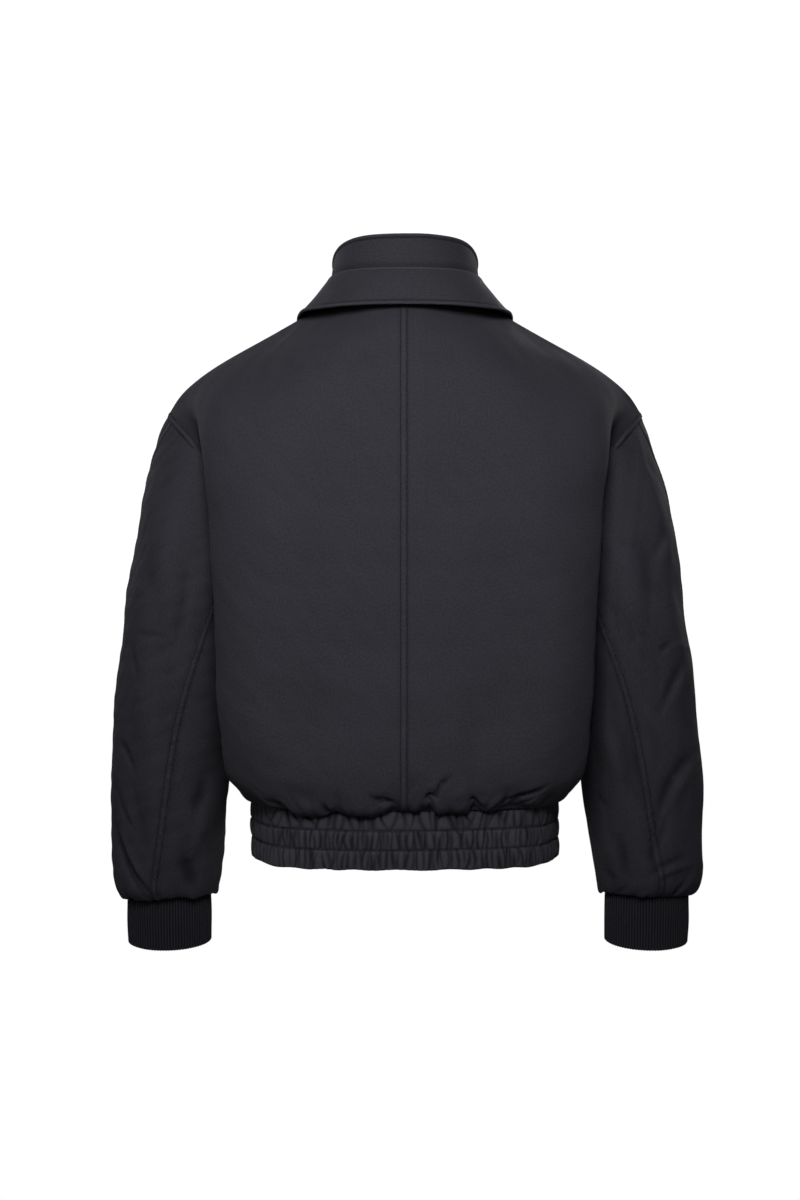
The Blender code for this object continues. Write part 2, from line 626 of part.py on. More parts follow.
def slider_solid(frame):
    """Slider: front plate, web between the two rows of teeth, back plate, and the bridge for the pull.

    In the frame's own axes -Y points out of the jacket and +Z up the zip.
    """
    half = SLIDER_HEIGHT / 2
    plates = {
        "zip_slider": ((-SLIDER_HALF_WIDTH, -SLIDER_FRONT[1], -half), (SLIDER_HALF_WIDTH, -SLIDER_FRONT[0], half)),
        "slider_back_guide": ((-SLIDER_HALF_WIDTH, SLIDER_BACK[0], -half), (SLIDER_HALF_WIDTH, SLIDER_BACK[1], half)),
        "slider_web_guide": ((-WEB_HALF_WIDTH, -SLIDER_FRONT[1] + 0.0004, half - WEB_HEIGHT),
                             (WEB_HALF_WIDTH, SLIDER_BACK[1] - 0.0004, half - 0.0002)),
    }
    made = {}
    for name, (low, high) in plates.items():
        mesh_data = bmesh.new()
        box_mesh(mesh_data, low, high)
        made[name] = add_object(name, mesh_data, "zip_metal", 30)
        made[name].parent = frame
    bridge = bmesh.new()
    steps = 10
    rings = []
    for i in range(steps + 1):
        angle = math.radians(-8 + 196 * i / steps)
        ring = []
        for radius, x in ((BRIDGE_INSIDE, -1), (BRIDGE_OUTSIDE, -1), (BRIDGE_OUTSIDE, 1), (BRIDGE_INSIDE, 1)):
            place = (x * BRIDGE_HALF_WIDTH, -SLIDER_FRONT[1] - radius * math.sin(angle), radius * math.cos(angle))
            ring.append(bridge.verts.new(place))
        rings.append(ring)
    for one, two in zip(rings, rings[1:]):
        for j in range(4):
            bridge.faces.new((one[j], one[(j + 1) % 4], two[(j + 1) % 4], two[j]))
    bridge.faces.new(rings[0])
    bridge.faces.new(rings[-1])
    made["slider_bridge_guide"] = add_object("slider_bridge_guide", bridge, "zip_metal", 30)
    made["slider_bridge_guide"].parent = frame
    for name in ("slider_web_guide", "slider_back_guide", "slider_bridge_guide"):
        join_solid(made["zip_slider"], made[name])


def pull_solid(frame):
    """Pull tab: a plate with an eye, hanging from its own axis. The plate lies in X and Z."""
    top = EYE_BAR / 2
    low = -PULL_LENGTH + top
    outline = [(-PULL_HALF_WIDTH, top - 0.0008), (-PULL_HALF_WIDTH + 0.0008, top), (PULL_HALF_WIDTH - 0.0008, top),
               (PULL_HALF_WIDTH, top - 0.0008)]
    for degrees in range(0, 181, 30):
        angle = math.radians(degrees)
        x = PULL_HALF_WIDTH * math.cos(angle)
        outline.append((x, low + PULL_HALF_WIDTH - PULL_HALF_WIDTH * math.sin(angle)))
    eye = [(-EYE_HALF_WIDTH, -EYE_REACH), (-EYE_HALF_WIDTH, -top), (EYE_HALF_WIDTH, -top),
           (EYE_HALF_WIDTH, -EYE_REACH)]
    made = bmesh.new()
    verts = [made.verts.new((x, -PULL_WALL / 2, z)) for x, z in outline]
    made.faces.new(verts)
    grown = bmesh.ops.extrude_face_region(made, geom=list(made.faces))
    moved = [item for item in grown["geom"] if isinstance(item, bmesh.types.BMVert)]
    bmesh.ops.translate(made, vec=(0, PULL_WALL, 0), verts=moved)
    pull = add_object("zip_pull", made, "zip_metal", 30)
    pull.parent = frame
    hole = bmesh.new()
    box_mesh(hole, (eye[0][0], -PULL_WALL, eye[0][1]), (eye[2][0], PULL_WALL, eye[2][1]))
    cutter = add_object("pull_eye_guide", hole, "zip_metal", 30)
    cutter.hide_render = True
    cutter.display_type = "WIRE"
    cutter.parent = frame
    cut = pull.modifiers.new("eye", "BOOLEAN")
    cut.operation = "DIFFERENCE"
    cut.object = cutter


def empty(name, location, tilt=0.0):
    """An empty that carries hard pieces."""
    made = bpy.data.objects.new(name, None)
    made.location = location
    made.rotation_euler = (tilt, 0.0, 0.0)
    bpy.context.scene.collection.objects.link(made)
    return made


# ---------------------------------------------------------------- the jacket
def mirror(grid):
    """The same grid on the wearer's right."""
    return grid * (-1, 1, 1)


def build_body_and_sleeves():
    """Back, fronts and sleeves, whose inner skins share their seams. Returns what the trims are made from."""
    back, front = body_skins()
    back_out = -grid_normals(back)
    front_out = grid_normals(front)
    back_out[:, 0, 0] = 0.0
    front_out[:, 0, 0] = 0.0
    underarm_row = sum(ROWS_BELOW)
    side = unit(back_out[:underarm_row + 1, -1] + front_out[:underarm_row + 1, -1])
    back_out[:underarm_row + 1, -1] = side
    front_out[:underarm_row + 1, -1] = side
    shoulder_columns = sum(BACK_COLUMNS[1:]) + 1
    shoulder = unit(back_out[-1, -shoulder_columns:] + front_out[-1, -shoulder_columns:])
    back_out[-1, -shoulder_columns:] = shoulder
    front_out[-1, -shoulder_columns:] = shoulder

    back_scye = back[underarm_row:, -1][::-1]
    front_scye = front[underarm_row:, -1]
    scye = np.concatenate([back_scye, front_scye[1:-1]])
    sleeve, outer_column, elbow_column = sleeve_skin(scye)
    sleeve_out = -grid_normals(sleeve, closed=True)
    body_out = np.concatenate([back_out[underarm_row:, -1][::-1], front_out[underarm_row:, -1][1:-1]])
    passage = unit(scye.mean(axis=0) - scye)
    seam_in = unit(passage - 0.5 * (body_out + sleeve_out[0, :-1]))
    seam_run = np.roll(scye, -1, axis=0) - np.roll(scye, 1, axis=0)
    away = unit(np.cross(seam_in, seam_run))
    sleeve[0, :-1] += away * ARMHOLE_GAP
    sleeve[0, -1] = sleeve[0, 0]

    back_in = -back_out * PANEL_WALL
    front_in = -front_out * PANEL_WALL
    steps = len(back_scye)
    back_in[underarm_row:, -1] = seam_in[:steps][::-1] * PANEL_WALL
    ring_in = np.concatenate([seam_in, seam_in[:1]])
    front_in[underarm_row:, -1] = ring_in[steps - 1:] * PANEL_WALL
    for skin, inward in ((back, back_in), (front, front_in)):
        lean = unit(skin[0] * (-1, -1, 0)) + (0.0, 0.0, 1.0)
        inward[0] = unit(lean) * PANEL_WALL
    sleeve_in = -sleeve_out * PANEL_WALL
    sleeve_in[0] = ring_in * PANEL_WALL
    wrist = unit(sleeve[-1].mean(axis=0) - sleeve[-1])
    sleeve_in[-1] = unit(wrist + (0.0, 0.0, 1.0)) * PANEL_WALL

    for side_name, turned in (("left", lambda grid: grid), ("right", mirror)):
        wall("back_" + side_name, turned(back), turned(back_in), "shell_cloth")
        wall("front_" + side_name, turned(front), turned(front_in), "shell_cloth")
        shift = 1 if side_name == "left" else -1
        placed = wrist_shift(sleeve, side_name)
        back_piece = slice(outer_column, elbow_column + 1)
        wall("sleeve_%s_back" % side_name, turned(placed[:, back_piece]), turned(sleeve_in[:, back_piece]),
             "shell_cloth")
        order = list(range(elbow_column, sleeve.shape[1] - 1)) + list(range(0, outer_column + 1))
        wall("sleeve_%s_front" % side_name, turned(placed[:, order]), turned(sleeve_in[:, order]), "shell_cloth")
        cuff = cuff_skin(placed[-1], side_name, ROWS_CUFF)
        cuff_in = grid_normals(cuff, closed=True) * CUFF_WALL
        wall("cuff_" + side_name, turned(cuff), turned(cuff_in), "rib_knit", closed=True)
    return back, front, back_out, front_out


def build_waistband(back, front):
    """The waistband: a strip under the body's bottom row, from front edge to front edge round the back."""
    half = np.concatenate([back[0], front[0][::-1][1:]])
    row = np.concatenate([mirror(half[::-1])[:-1], half])
    heights = np.linspace(WAIST_Z - SEAM_GAP / 2, HEM_Z, ROWS_BAND + 1)
    grid = np.array([row * (1, 1, 0) + (0, 0, z) for z in heights])
    out = grid_normals(grid)
    if out[0, len(row) // 2] @ (0, 1, 0) < 0:
        out = -out
    wall("waistband", grid, -out * BAND_WALL, "shell_cloth")
    return grid, out


def build_collars():
    """The stand collar and the fall collar round it."""
    turns = both_sides(neck_turns(BACK_COLUMNS[0], FRONT_COLUMNS[0]))
    stand = stand_grid(turns, np.linspace(0, 1, ROWS_STAND + 1))
    stand[0] += (0.0, 0.0, SEAM_GAP / 2)
    out = grid_normals(stand)
    if out[1, len(turns) // 2] @ (0, 1, 0) < 0:
        out = -out
    wall("stand_collar", stand, -out * COLLAR_WALL, "collar_cloth")
    fall = fall_grid(turns, ROWS_FALL)
    fall_out = grid_normals(fall)
    if fall_out[-1, len(turns) // 2] @ (0, 1, 0) < 0:
        fall_out = -fall_out
    wall("fall_collar", fall, -fall_out * COLLAR_WALL, "collar_cloth")
    return stand, out


def build_zip(band, band_out, front, front_out, stand, stand_out):
    """Tapes behind the front edges, closed teeth between them, box, slider and pull."""
    edge = slice(-1, -3, -1)
    rows = [line[edge] for line in band[::-1]] + [line[:2] for line in front[1:]]
    rows += [line[edge] for line in stand[1:]]
    normals = [line[edge] for line in band_out[::-1]] + [line[:2] for line in front_out[1:]]
    normals += [line[edge] for line in stand_out[1:]]
    walls = [BAND_WALL] * len(band) + [PANEL_WALL] * (len(front) - 1) + [COLLAR_WALL] * (len(stand) - 1)
    normals = np.array(normals)
    throat = len(band) + len(front) - 2
    corner = unit(normals[throat] + stand_out[0, edge])
    walls[throat] = COLLAR_WALL / (normals[throat, 0] @ corner[0])
    normals[throat] = corner
    normals[:, 0, 0] = 0.0
    tape = strip_at(rows, normals, walls, (TAPE_INNER_X, (TAPE_INNER_X + TAPE_OUTER_X) / 2, TAPE_OUTER_X))
    tape_in = -grid_normals(tape) * TAPE_WALL
    if tape_in[3, 1] @ (0, 1, 0) < 0:
        tape_in = -tape_in
    wall("zip_tape_left", tape, tape_in, "zip_tape")
    wall("zip_tape_right", mirror(tape), mirror(tape_in), "zip_tape")

    line = np.array([(0.0, row[0, 1], row[0, 2]) for row in rows])
    out = unit(normals[:, 0] * (0, 1, 1))
    climb = chord_knots(line)
    top = climb[-1] - SLIDER_DROP + SLIDER_HEIGHT / 2 - WEB_HEIGHT - 0.0004
    box_top = BOX_HEIGHT + SEAM_GAP
    stops = np.array([box_top] + [value for value in climb if box_top + 0.002 < value < top - 0.002] + [top])
    middle = np.column_stack([np.interp(stops, climb, line[:, k]) for k in range(3)])
    facing = unit(np.column_stack([np.interp(stops, climb, out[:, k]) for k in range(3)]))
    thick = np.interp(stops, climb, walls) - TEETH_SINK
    teeth = np.array([[point - n * TEETH_SINK + (x, 0, 0) for x in (-TEETH_HALF_WIDTH, TEETH_HALF_WIDTH)]
                      for point, n in zip(middle, facing)])
    teeth_in = np.array([[-n * t] * 2 for n, t in zip(facing, thick)])
    wall("zip_teeth", teeth, teeth_in, "zip_metal")

    box = bmesh.new()
    front_y = line[0, 1] - 0.0008
    box_mesh(box, (-BOX_HALF_WIDTH, front_y, HEM_Z), (BOX_HALF_WIDTH, line[0, 1] + BAND_WALL, HEM_Z + BOX_HEIGHT))
    add_object("zip_box", box, "zip_metal", 30)

    place = climb[-1] - SLIDER_DROP
    middle = np.array([np.interp(place, climb, line[:, k]) for k in range(3)])
    facing = unit(np.array([np.interp(place, climb, out[:, k]) for k in range(3)]))
    tilt = math.atan2(facing[2], -facing[1])
    frame = empty("slider_frame", middle, -tilt)
    slider_solid(frame)
    pivot = middle + facing * PIVOT_OUT
    pull_solid(empty("pull_axis", pivot))


def main():
    for old in list(bpy.data.objects):
        bpy.data.objects.remove(old, do_unlink=True)
    back, front, back_out, front_out = build_body_and_sleeves()
    band, band_out = build_waistband(back, front)
    stand, stand_out = build_collars()
    build_zip(band, band_out, front, front_out, stand, stand_out)


main()
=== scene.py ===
"""Dark bomber jacket, filled out with nobody in it and seen from behind.

Metres. +Z is up, the front faces -Y and the wearer's left is +X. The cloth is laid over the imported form: the same
rings, lines and stations as the form, read at much finer steps, with creases, gathers, seams and stitching on it.
"""
import math
from collections import namedtuple
from functools import partial

import bmesh
import bpy
import numpy as np
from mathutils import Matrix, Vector
from mathutils.bvhtree import BVHTree


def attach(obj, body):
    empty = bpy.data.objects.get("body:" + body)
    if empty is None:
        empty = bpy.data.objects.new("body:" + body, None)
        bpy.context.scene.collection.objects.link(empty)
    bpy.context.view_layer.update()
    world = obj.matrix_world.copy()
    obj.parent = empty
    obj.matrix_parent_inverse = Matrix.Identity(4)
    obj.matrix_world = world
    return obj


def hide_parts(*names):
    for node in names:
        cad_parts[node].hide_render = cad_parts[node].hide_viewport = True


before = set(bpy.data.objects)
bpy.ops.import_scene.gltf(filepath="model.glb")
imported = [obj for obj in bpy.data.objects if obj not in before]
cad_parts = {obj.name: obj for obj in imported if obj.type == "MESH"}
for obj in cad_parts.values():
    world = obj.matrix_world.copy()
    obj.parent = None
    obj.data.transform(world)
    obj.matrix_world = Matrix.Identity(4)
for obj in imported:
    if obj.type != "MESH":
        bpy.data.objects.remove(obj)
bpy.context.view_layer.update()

# ---------------------------------------------------------------- driving dimensions
SEAM_GAP = 0.0003          # between two pieces that are sewn or laid together
ARMHOLE_GAP = 0.0005       # between body and sleeve, where both hang down from one seam
PANEL_WALL = 0.0020        # shell, its turnings and its inner face
COLLAR_WALL = 0.0022
BAND_WALL = 0.0024
CUFF_WALL = 0.0026

HEM_Z = -0.6310            # bottom of the waistband
WAIST_Z = -0.5627          # seam between body and waistband
UNDERARM_Z = -0.3450
FRONT_EDGE_X = 0.0045      # each front stops this far from the middle, for the zip

NECK_HALF_WIDTH = 0.083
NECK_MIDDLE_Y = 0.002
NECK_TO_NAPE = 0.078
NECK_TO_THROAT = 0.096
NECK_SIDE_RISE = 0.004
THROAT_DROP = 0.084
NECK_POINT_TURN = 0.5      # where the shoulder seam meets the neck; 0 is the nape, 1 the throat

STAND_HALF_WIDTH = 0.0825  # top edge of the stand collar
STAND_MIDDLE_Y = -0.020
STAND_DEPTH = 0.084
STAND_SIDE_Z = 0.048
STAND_BACK_RISE = 0.0275
STAND_FRONT_DROP = 0.051
STAND_BULGE = 0.0010
FALL_SHARES = (0.0, 0.3, 0.46, 1.0)        # from the nape to the throat
FALL_BULGES = (0.0045, 0.0015, -0.0012, 0.0035)   # how far the fall stands out halfway down

FOLD_ROUND = 0.0027        # radius of the fall collar's fold, outside
ROLL_SHARE_BACK = 0.44     # height of the fold, as a share of the stand collar
ROLL_SHARE_FRONT = 0.07

BACK_FLATNESS = 2.5        # exponent of the plan curve across the back and the front
BLADE_TURN = 31.0          # degrees round that curve, at the shoulder blade and the breast
YOKE_TURN = 58.0           # degrees round that curve, at the middle of the shoulder
VALLEY_SHARE = 0.20        # how far the side still stands out halfway from the fold to the side seam

WRIST_SHIFT = {"left": -0.0040, "right": 0.0035}

# ---------------------------------------------------------------- the cut, level by level
# Rings of the body below the arms, from the waist seam up. fold = the back edge that hangs beside the
# sleeve, side = the side seam, breast = the front edge beside the sleeve, edge = the front opening.
Ring = namedtuple("Ring", "z back_y fold_x fold_y side_x side_y breast_x breast_y edge_y edge_z")
RINGS = (
    Ring(WAIST_Z, 0.1200, 0.1690, 0.0400, 0.1762, -0.0030, 0.1690, -0.0460, -0.1260, -0.5627),
    Ring(-0.5668, 0.1252, 0.1738, 0.0430, 0.1790, -0.0030, 0.1730, -0.0490, -0.1268, -0.5590),
    Ring(-0.5640, 0.1325, 0.1800, 0.0480, 0.1812, -0.0035, 0.1780, -0.0550, -0.1276, -0.5550),
    Ring(-0.5535, 0.1392, 0.1880, 0.0560, 0.1835, -0.0045, 0.1840, -0.0650, -0.1292, -0.5480),
    Ring(-0.5380, 0.1438, 0.1970, 0.0640, 0.1855, -0.0060, 0.1900, -0.0750, -0.1325, -0.5340),
    Ring(-0.5130, 0.1465, 0.2035, 0.0740, 0.1872, -0.0070, 0.1940, -0.0850, -0.1370, -0.5110),
    Ring(-0.4440, 0.1482, 0.2095, 0.0880, 0.1880, -0.0080, 0.1990, -0.0950, -0.1442, -0.4440),
    Ring(-0.3880, 0.1490, 0.2115, 0.0920, 0.1868, -0.0080, 0.2030, -0.0980, -0.1460, -0.3880),
    Ring(UNDERARM_Z, 0.1500, 0.2125, 0.0930, 0.1890, -0.0080, 0.2060, -0.0980, -0.1465, UNDERARM_Z),
)
UNDERARM = len(RINGS) - 1

# Lines of the body above the arms, each from just over the underarm up to the shoulder or the neck.
Spot = namedtuple("Spot", "x y z")


def spots(*rows):
    """A line of spots."""
    return tuple(Spot(*row) for row in rows)


BACK_MIDDLE = spots((0, 0.1502, -0.262), (0, 0.1480, -0.190), (0, 0.1390, -0.120), (0, 0.1170, -0.050))
BLADE = spots((0.110, 0.1470, -0.265), (0.110, 0.1430, -0.195), (0.108, 0.1310, -0.130), (0.099, 0.0930, -0.055))
BACK_YOKE = spots(
    (0.1760, 0.1310, -0.270), (0.1780, 0.1270, -0.205), (0.1780, 0.1120, -0.145), (0.1730, 0.0680, -0.087))
BACK_FOLD = spots(
    (0.2140, 0.0940, -0.278), (0.2175, 0.0880, -0.222), (0.2240, 0.0710, -0.166), (0.2345, 0.0400, -0.119))
BACK_VALLEY = spots(
    (0.2010, 0.0640, -0.283), (0.2060, 0.0620, -0.228), (0.2195, 0.0560, -0.174), (0.2425, 0.0240, -0.130))
BACK_SCYE = spots(
    (0.1955, 0.0340, -0.288), (0.2040, 0.0460, -0.228), (0.2310, 0.0440, -0.166), (0.2575, 0.0140, -0.136))
FRONT_MIDDLE = spots(
    (FRONT_EDGE_X, -0.1455, -0.270), (FRONT_EDGE_X, -0.1395, -0.205), (FRONT_EDGE_X, -0.1290, -0.152),
    (FRONT_EDGE_X, -0.1125, -0.112))
BREAST = spots(
    (0.106, -0.1400, -0.268), (0.107, -0.1330, -0.200), (0.105, -0.1170, -0.130), (0.099, -0.0720, -0.050))
FRONT_YOKE = spots(
    (0.1720, -0.1240, -0.270), (0.1740, -0.1170, -0.205), (0.1740, -0.1000, -0.145), (0.1710, -0.0600, -0.088))
FRONT_FOLD = spots(
    (0.2080, -0.0990, -0.278), (0.2130, -0.0940, -0.222), (0.2210, -0.0800, -0.170), (0.2335, -0.0520, -0.122))
FRONT_VALLEY = spots(
    (0.1955, -0.0830, -0.289), (0.2030, -0.0830, -0.234), (0.2180, -0.0770, -0.180), (0.2400, -0.0490, -0.134))
FRONT_SCYE = spots(
    (0.1935, -0.0660, -0.300), (0.2030, -0.0790, -0.240), (0.2245, -0.0740, -0.185), (0.2500, -0.0490, -0.142))
SHOULDER = spots(
    (0.1650, -0.0060, -0.0425), (0.2440, -0.0090, -0.0920), (0.2580, -0.0115, -0.1060), (0.2690, -0.0140, -0.1230))

# Columns between two lines, and rows between two levels.
BACK_COLUMNS = (64, 42, 26, 14, 14)
FRONT_COLUMNS = (44, 42, 26, 14, 14)
ROWS_BELOW = (3, 4, 6, 7, 11, 28, 23, 18)
ROWS_ABOVE = (20, 20, 20, 20, 20)

# Stations of the left sleeve, from the armhole down. outer and inner are the two ends of the section as seen
# from the back, mid_y and half_depth its middle and its half depth, tilt the degrees its back edge dips.
# outer_seam and elbow_seam are degrees round the section, from its outer end by way of the back.
Station = namedtuple("Station", "outer_x outer_z inner_x inner_z mid_y half_depth tilt outer_seam elbow_seam")
STATIONS = (
    Station(0.2690, -0.1230, 0.1890, -0.3450, -0.0150, 0.0655, 0.0, 12, 132),
    Station(0.2800, -0.1470, 0.1908, -0.3495, -0.0150, 0.0665, 0.0, 9, 131),
    Station(0.2917, -0.1850, 0.1926, -0.3545, -0.0150, 0.0680, 0.5, 3, 130),
    Station(0.3020, -0.2280, 0.1940, -0.3600, -0.0155, 0.0690, 1.0, -2, 129),
    Station(0.3130, -0.2860, 0.1950, -0.3690, -0.0165, 0.0695, 2.0, -6, 126),
    Station(0.3212, -0.3430, 0.1958, -0.3830, -0.0190, 0.0690, 3.0, -8, 120),
    Station(0.3293, -0.4060, 0.1970, -0.4220, -0.0245, 0.0670, 4.5, -10, 107),
    Station(0.3366, -0.4680, 0.1992, -0.4720, -0.0330, 0.0645, 6.0, -11, 97),
    Station(0.3425, -0.5280, 0.2025, -0.5270, -0.0425, 0.0625, 7.5, -12, 91),
    Station(0.3463, -0.5850, 0.2078, -0.5830, -0.0520, 0.0605, 9.0, -13, 87),
    Station(0.3471, -0.6320, 0.2140, -0.6300, -0.0600, 0.0580, 8.0, -14, 83),
    Station(0.3462, -0.6640, 0.2185, -0.6600, -0.0645, 0.0550, 4.0, -14, 80),
    Station(0.3415, -0.6845, 0.2225, -0.6790, -0.0665, 0.0510, -1.0, -14, 79),
    Station(0.3345, -0.6925, 0.2262, -0.6870, -0.0675, 0.0450, -4.0, -14, 78),
    Station(0.3302, -0.6870, 0.2318, -0.6820, -0.0680, 0.0385, -2.0, -14, 77),
)
CUFF_END = Station(0.3306, -0.7445, 0.2322, -0.7425, -0.0780, 0.0380, 11.0, -14, 77)
SCYE_PLACES = 3            # the armhole's own shape fades out over this many stations
ROWS_SLEEVE = (9, 13, 14, 19, 19, 21, 21, 20, 19, 18, 13, 9, 5, 5)
ROWS_CUFF = 24
ROWS_BAND = 46
STAND_ROWS = (26, 14)      # below and beside the topstitched edge
FALL_ROWS = (20, 16)
STAND_EDGE_SHARE = 0.87    # the topstitched edge takes the rest of the height
FALL_EDGE_SHARE = 0.80

# Outer edge of the fall collar, from the back to its point.
EdgeSpot = namedtuple("EdgeSpot", "turn x y z")
FALL_EDGE = (
    EdgeSpot(0.00, 0.0000, 0.0975, -0.0050),
    EdgeSpot(0.20, 0.0640, 0.0850, -0.0060),
    EdgeSpot(0.34, 0.1025, 0.0500, -0.0082),
    EdgeSpot(0.46, 0.1215, 0.0060, -0.0122),
    EdgeSpot(0.58, 0.1225, -0.0420, -0.0290),
    EdgeSpot(0.72, 0.1080, -0.0920, -0.0600),
    EdgeSpot(0.86, 0.0850, -0.1180, -0.0960),
    EdgeSpot(1.00, 0.0600, -0.1260, -0.1250),
)

# Zip
TAPE_INNER_X = 0.0020
TAPE_OUTER_X = 0.0150
TAPE_WALL = 0.0008
TAPE_GAP = 0.0005          # the tapes lie this far behind the walls they are sewn to
BOX_HEIGHT = 0.0090
SLIDER_DROP = 0.0150       # middle of the slider below the top of the stand collar
SLIDER_HEIGHT = 0.0110
WEB_HEIGHT = 0.0040

# ---------------------------------------------------------------- camera and what it sees
CAMERA_X = 0.0057
CAMERA_Y = 3.2
CAMERA_Z = -0.15
CAMERA_DIP = 3.354         # degrees below the level
CAMERA_LENS = 84.03        # millimetres
SENSOR_HEIGHT = 36.0       # millimetres up the picture

# Creases, in millimetres as seen from behind and brought to the plane y = 0. A crease runs from its first
# place through its second to its third. height below 0 is a trough; lean makes one of its sides a ridge.
Crease = namedtuple("Crease", "x1 z1 x2 z2 x3 z3 width height lean")
CREASES = {name: [Crease(*row) for row in rows] for name, rows in {
    "sleeve_left": (
        (311, -377, 312, -401, 306, -421, 3.5, -2.4, 0.2),
        (310, -374, 292, -375, 274, -380, 2.6, -1.3, 0),
        (328, -497, 321, -512, 312, -531, 3.6, -3.2, 0.3),
        (334, -548, 326, -577, 315, -599, 3.2, -2.6, 0.3),
        (336, -582, 324, -629, 290, -679, 3.6, -4.2, 0.4),
        (335, -607, 320, -646, 297, -680, 3.2, -3.2, 0.3),
        (330, -593, 316, -635, 287, -673, 5, 3, 0),
        (295, -229, 298, -275, 289, -320, 10, -3.8, 0),
        (267, -246, 274, -292, 280, -349, 14, 3.5, 0),
        (253, -292, 255, -338, 267, -383, 9, -3.5, 0),
        (304, -452, 297, -493, 301, -539, 14, 3.5, 0),
        (315, -533, 305, -585, 298, -626, 10, -3.8, 0),
        (231, -535, 236, -558, 244, -582, 8, -4.3, 0),
        (229, -577, 235, -605, 247, -633, 6, 3.8, 0),
        (252, -626, 247, -646, 236, -667, 8, -3.5, 0),
    ),
    "sleeve_right": (
        (-269, -146, -278, -168, -291, -212, 5, -1.9, 0),
        (-299, -237, -296, -260, -288, -283, 6, -3.5, 0),
        (-305, -246, -303, -269, -296, -292, 7, 2.4, 0),
        (-293, -395, -298, -389, -304, -383, 3.5, -2.4, 0),
        (-306, -393, -313, -389, -320, -391, 5, 1.8, 0),
        (-320, -397, -308, -427, -293, -458, 6, -3.8, 0.3),
        (-325, -404, -318, -429, -302, -462, 7, 2.4, 0),
        (-329, -507, -302, -548, -281, -626, 8, -5.1, 0.3),
        (-333, -522, -311, -556, -294, -594, 7, 3.5, 0),
        (-302, -583, -292, -614, -285, -636, 4.5, -3, 0.2),
        (-279, -658, -302, -640, -326, -629, 4, -2, 0),
        (-282, -670, -303, -656, -328, -646, 5, 2.2, 0),
        (-231, -470, -236, -510, -245, -552, 7, 3.8, 0),
        (-221, -554, -225, -565, -233, -575, 3, -2.2, 0),
        (-231, -646, -237, -655, -244, -662, 3, -2.2, 0),
        (-268, -246, -278, -292, -283, -349, 13, -3.8, 0),
        (-248, -269, -258, -326, -269, -383, 14, 3.5, 0),
        (-270, -487, -277, -533, -282, -568, 11, 3.2, 0),
        (-238, -591, -250, -626, -257, -665, 9, -3.2, 0),
    ),
    "body": (
        (186, -554, 177, -567, 164, -577, 4, -2.6, 0.3),
        (160, -570, 149, -575, 138, -580, 3.2, -3.6, 0.3),
        (96, -570, 92, -576, 85, -584, 3.0, -3.4, 0.2),
        (39, -562, 25, -569, 10, -578, 3.2, -4.4, 0.4),
        (38, -564, 33, -567, 30, -571, 7, -1.8, 0),
        (-52, -541, -41, -552, -37, -564, 3.2, -4.2, -0.4),
        (-38, -562, -26, -569, -33, -579, 2.8, -5.0, 0.3),
        (-75, -568, -81, -575, -92, -580, 3.2, -3.8, 0.3),
        (-163, -552, -141, -565, -110, -579, 3.4, -4.0, -0.3),
        (-174, -562, -167, -569, -156, -577, 4, -2.4, -0.3),
        (132, -557, 121, -555, 106, -564, 8, -1.8, 0),
        (-14, -539, -8, -549, -5, -564, 6, -1.6, 0),
        (-66, -553, -61, -563, -48, -571, 7, 1.8, 0),
        (-36, -545, -33, -554, -29, -562, 6, 2.0, 0),
        (63, -564, 55, -574, 49, -582, 9, 1.6, 0),
        (121, -568, 114, -576, 107, -583, 9, 1.6, 0),
        (0, -562, -3, -571, -13, -577, 8, 1.2, 0),
        (-101, -565, -106, -572, -109, -577, 8, 1.2, 0),
        (-132, -562, -149, -556, -164, -549, 8, 1.4, 0),
        (164, -558, 157, -564, 151, -570, 7, 1.2, 0),
        (199, -543, 192, -555, 180, -567, 6, -1.4, 0),
        (175, -452, 169, -493, 157, -533, 26, 2.6, 0),
        (120, -383, 103, -452, 100, -522, 30, -2.2, 0),
        (45, -429, 38, -481, 31, -533, 24, 2.2, 0),
        (-40, -406, -47, -470, -40, -527, 26, 2.4, 0),
        (-70, -440, -78, -490, -72, -540, 14, -1.6, 0),
        (-109, -395, -100, -458, -109, -522, 26, -2.2, 0),
        (-178, -383, -173, -452, -164, -522, 22, 2.2, 0),
        (177, -155, 163, -223, 170, -315, 30, 2.0, 0),
        (86, -98, 68, -166, 63, -257, 34, -2.0, 0),
        (-74, -109, -60, -178, -65, -269, 32, -1.8, 0),
        (-177, -155, -163, -223, -173, -315, 30, 2.0, 0),
        (-15, -30, -40, -52, -74, -66, 16, -1.2, 0),
        (15, -30, 40, -52, 76, -66, 16, -1.2, 0),
    ),
}.items()}

# How far the body's lower fold rises above its usual line, in millimetres, at x millimetres as seen.
Lobe = namedtuple("Lobe", "x rise")
BACK_LOBES = tuple(Lobe(*row) for row in (
    (-215, 5), (-185, 6), (-160, 5), (-143, 6.5), (-133, 8.6), (-124, 8.2), (-114, 6.9),
    (-105, 2.9), (-94, 1.1), (-84, 5.7), (-78, 8.5), (-72, 1.7), (-61, 0), (-46, 0),
    (-34, 3.4), (-29, 9.5), (-23, 8), (-16, 3.4), (-9, 2.3), (0, 4.6), (7, 5.1),
    (14, 6.3), (21, 2.3), (31, -2.3), (45, -3.4), (61, -2.3), (73, 0), (80, 2.3),
    (86, -1.1), (96, -4), (106, -4.6), (120, -3.4), (128, -1.1), (137, 3.4), (150, 4),
    (168, 5), (190, 5), (215, 5),
))
FRONT_LOBES = tuple(Lobe(*row) for row in (
    (-215, 4), (-175, 4), (-145, -2), (-110, 4), (-75, -2), (-40, 3), (-15, 0),
    (15, 0), (35, 3), (70, -3), (105, 4), (150, -2), (180, 4), (215, 4),
))


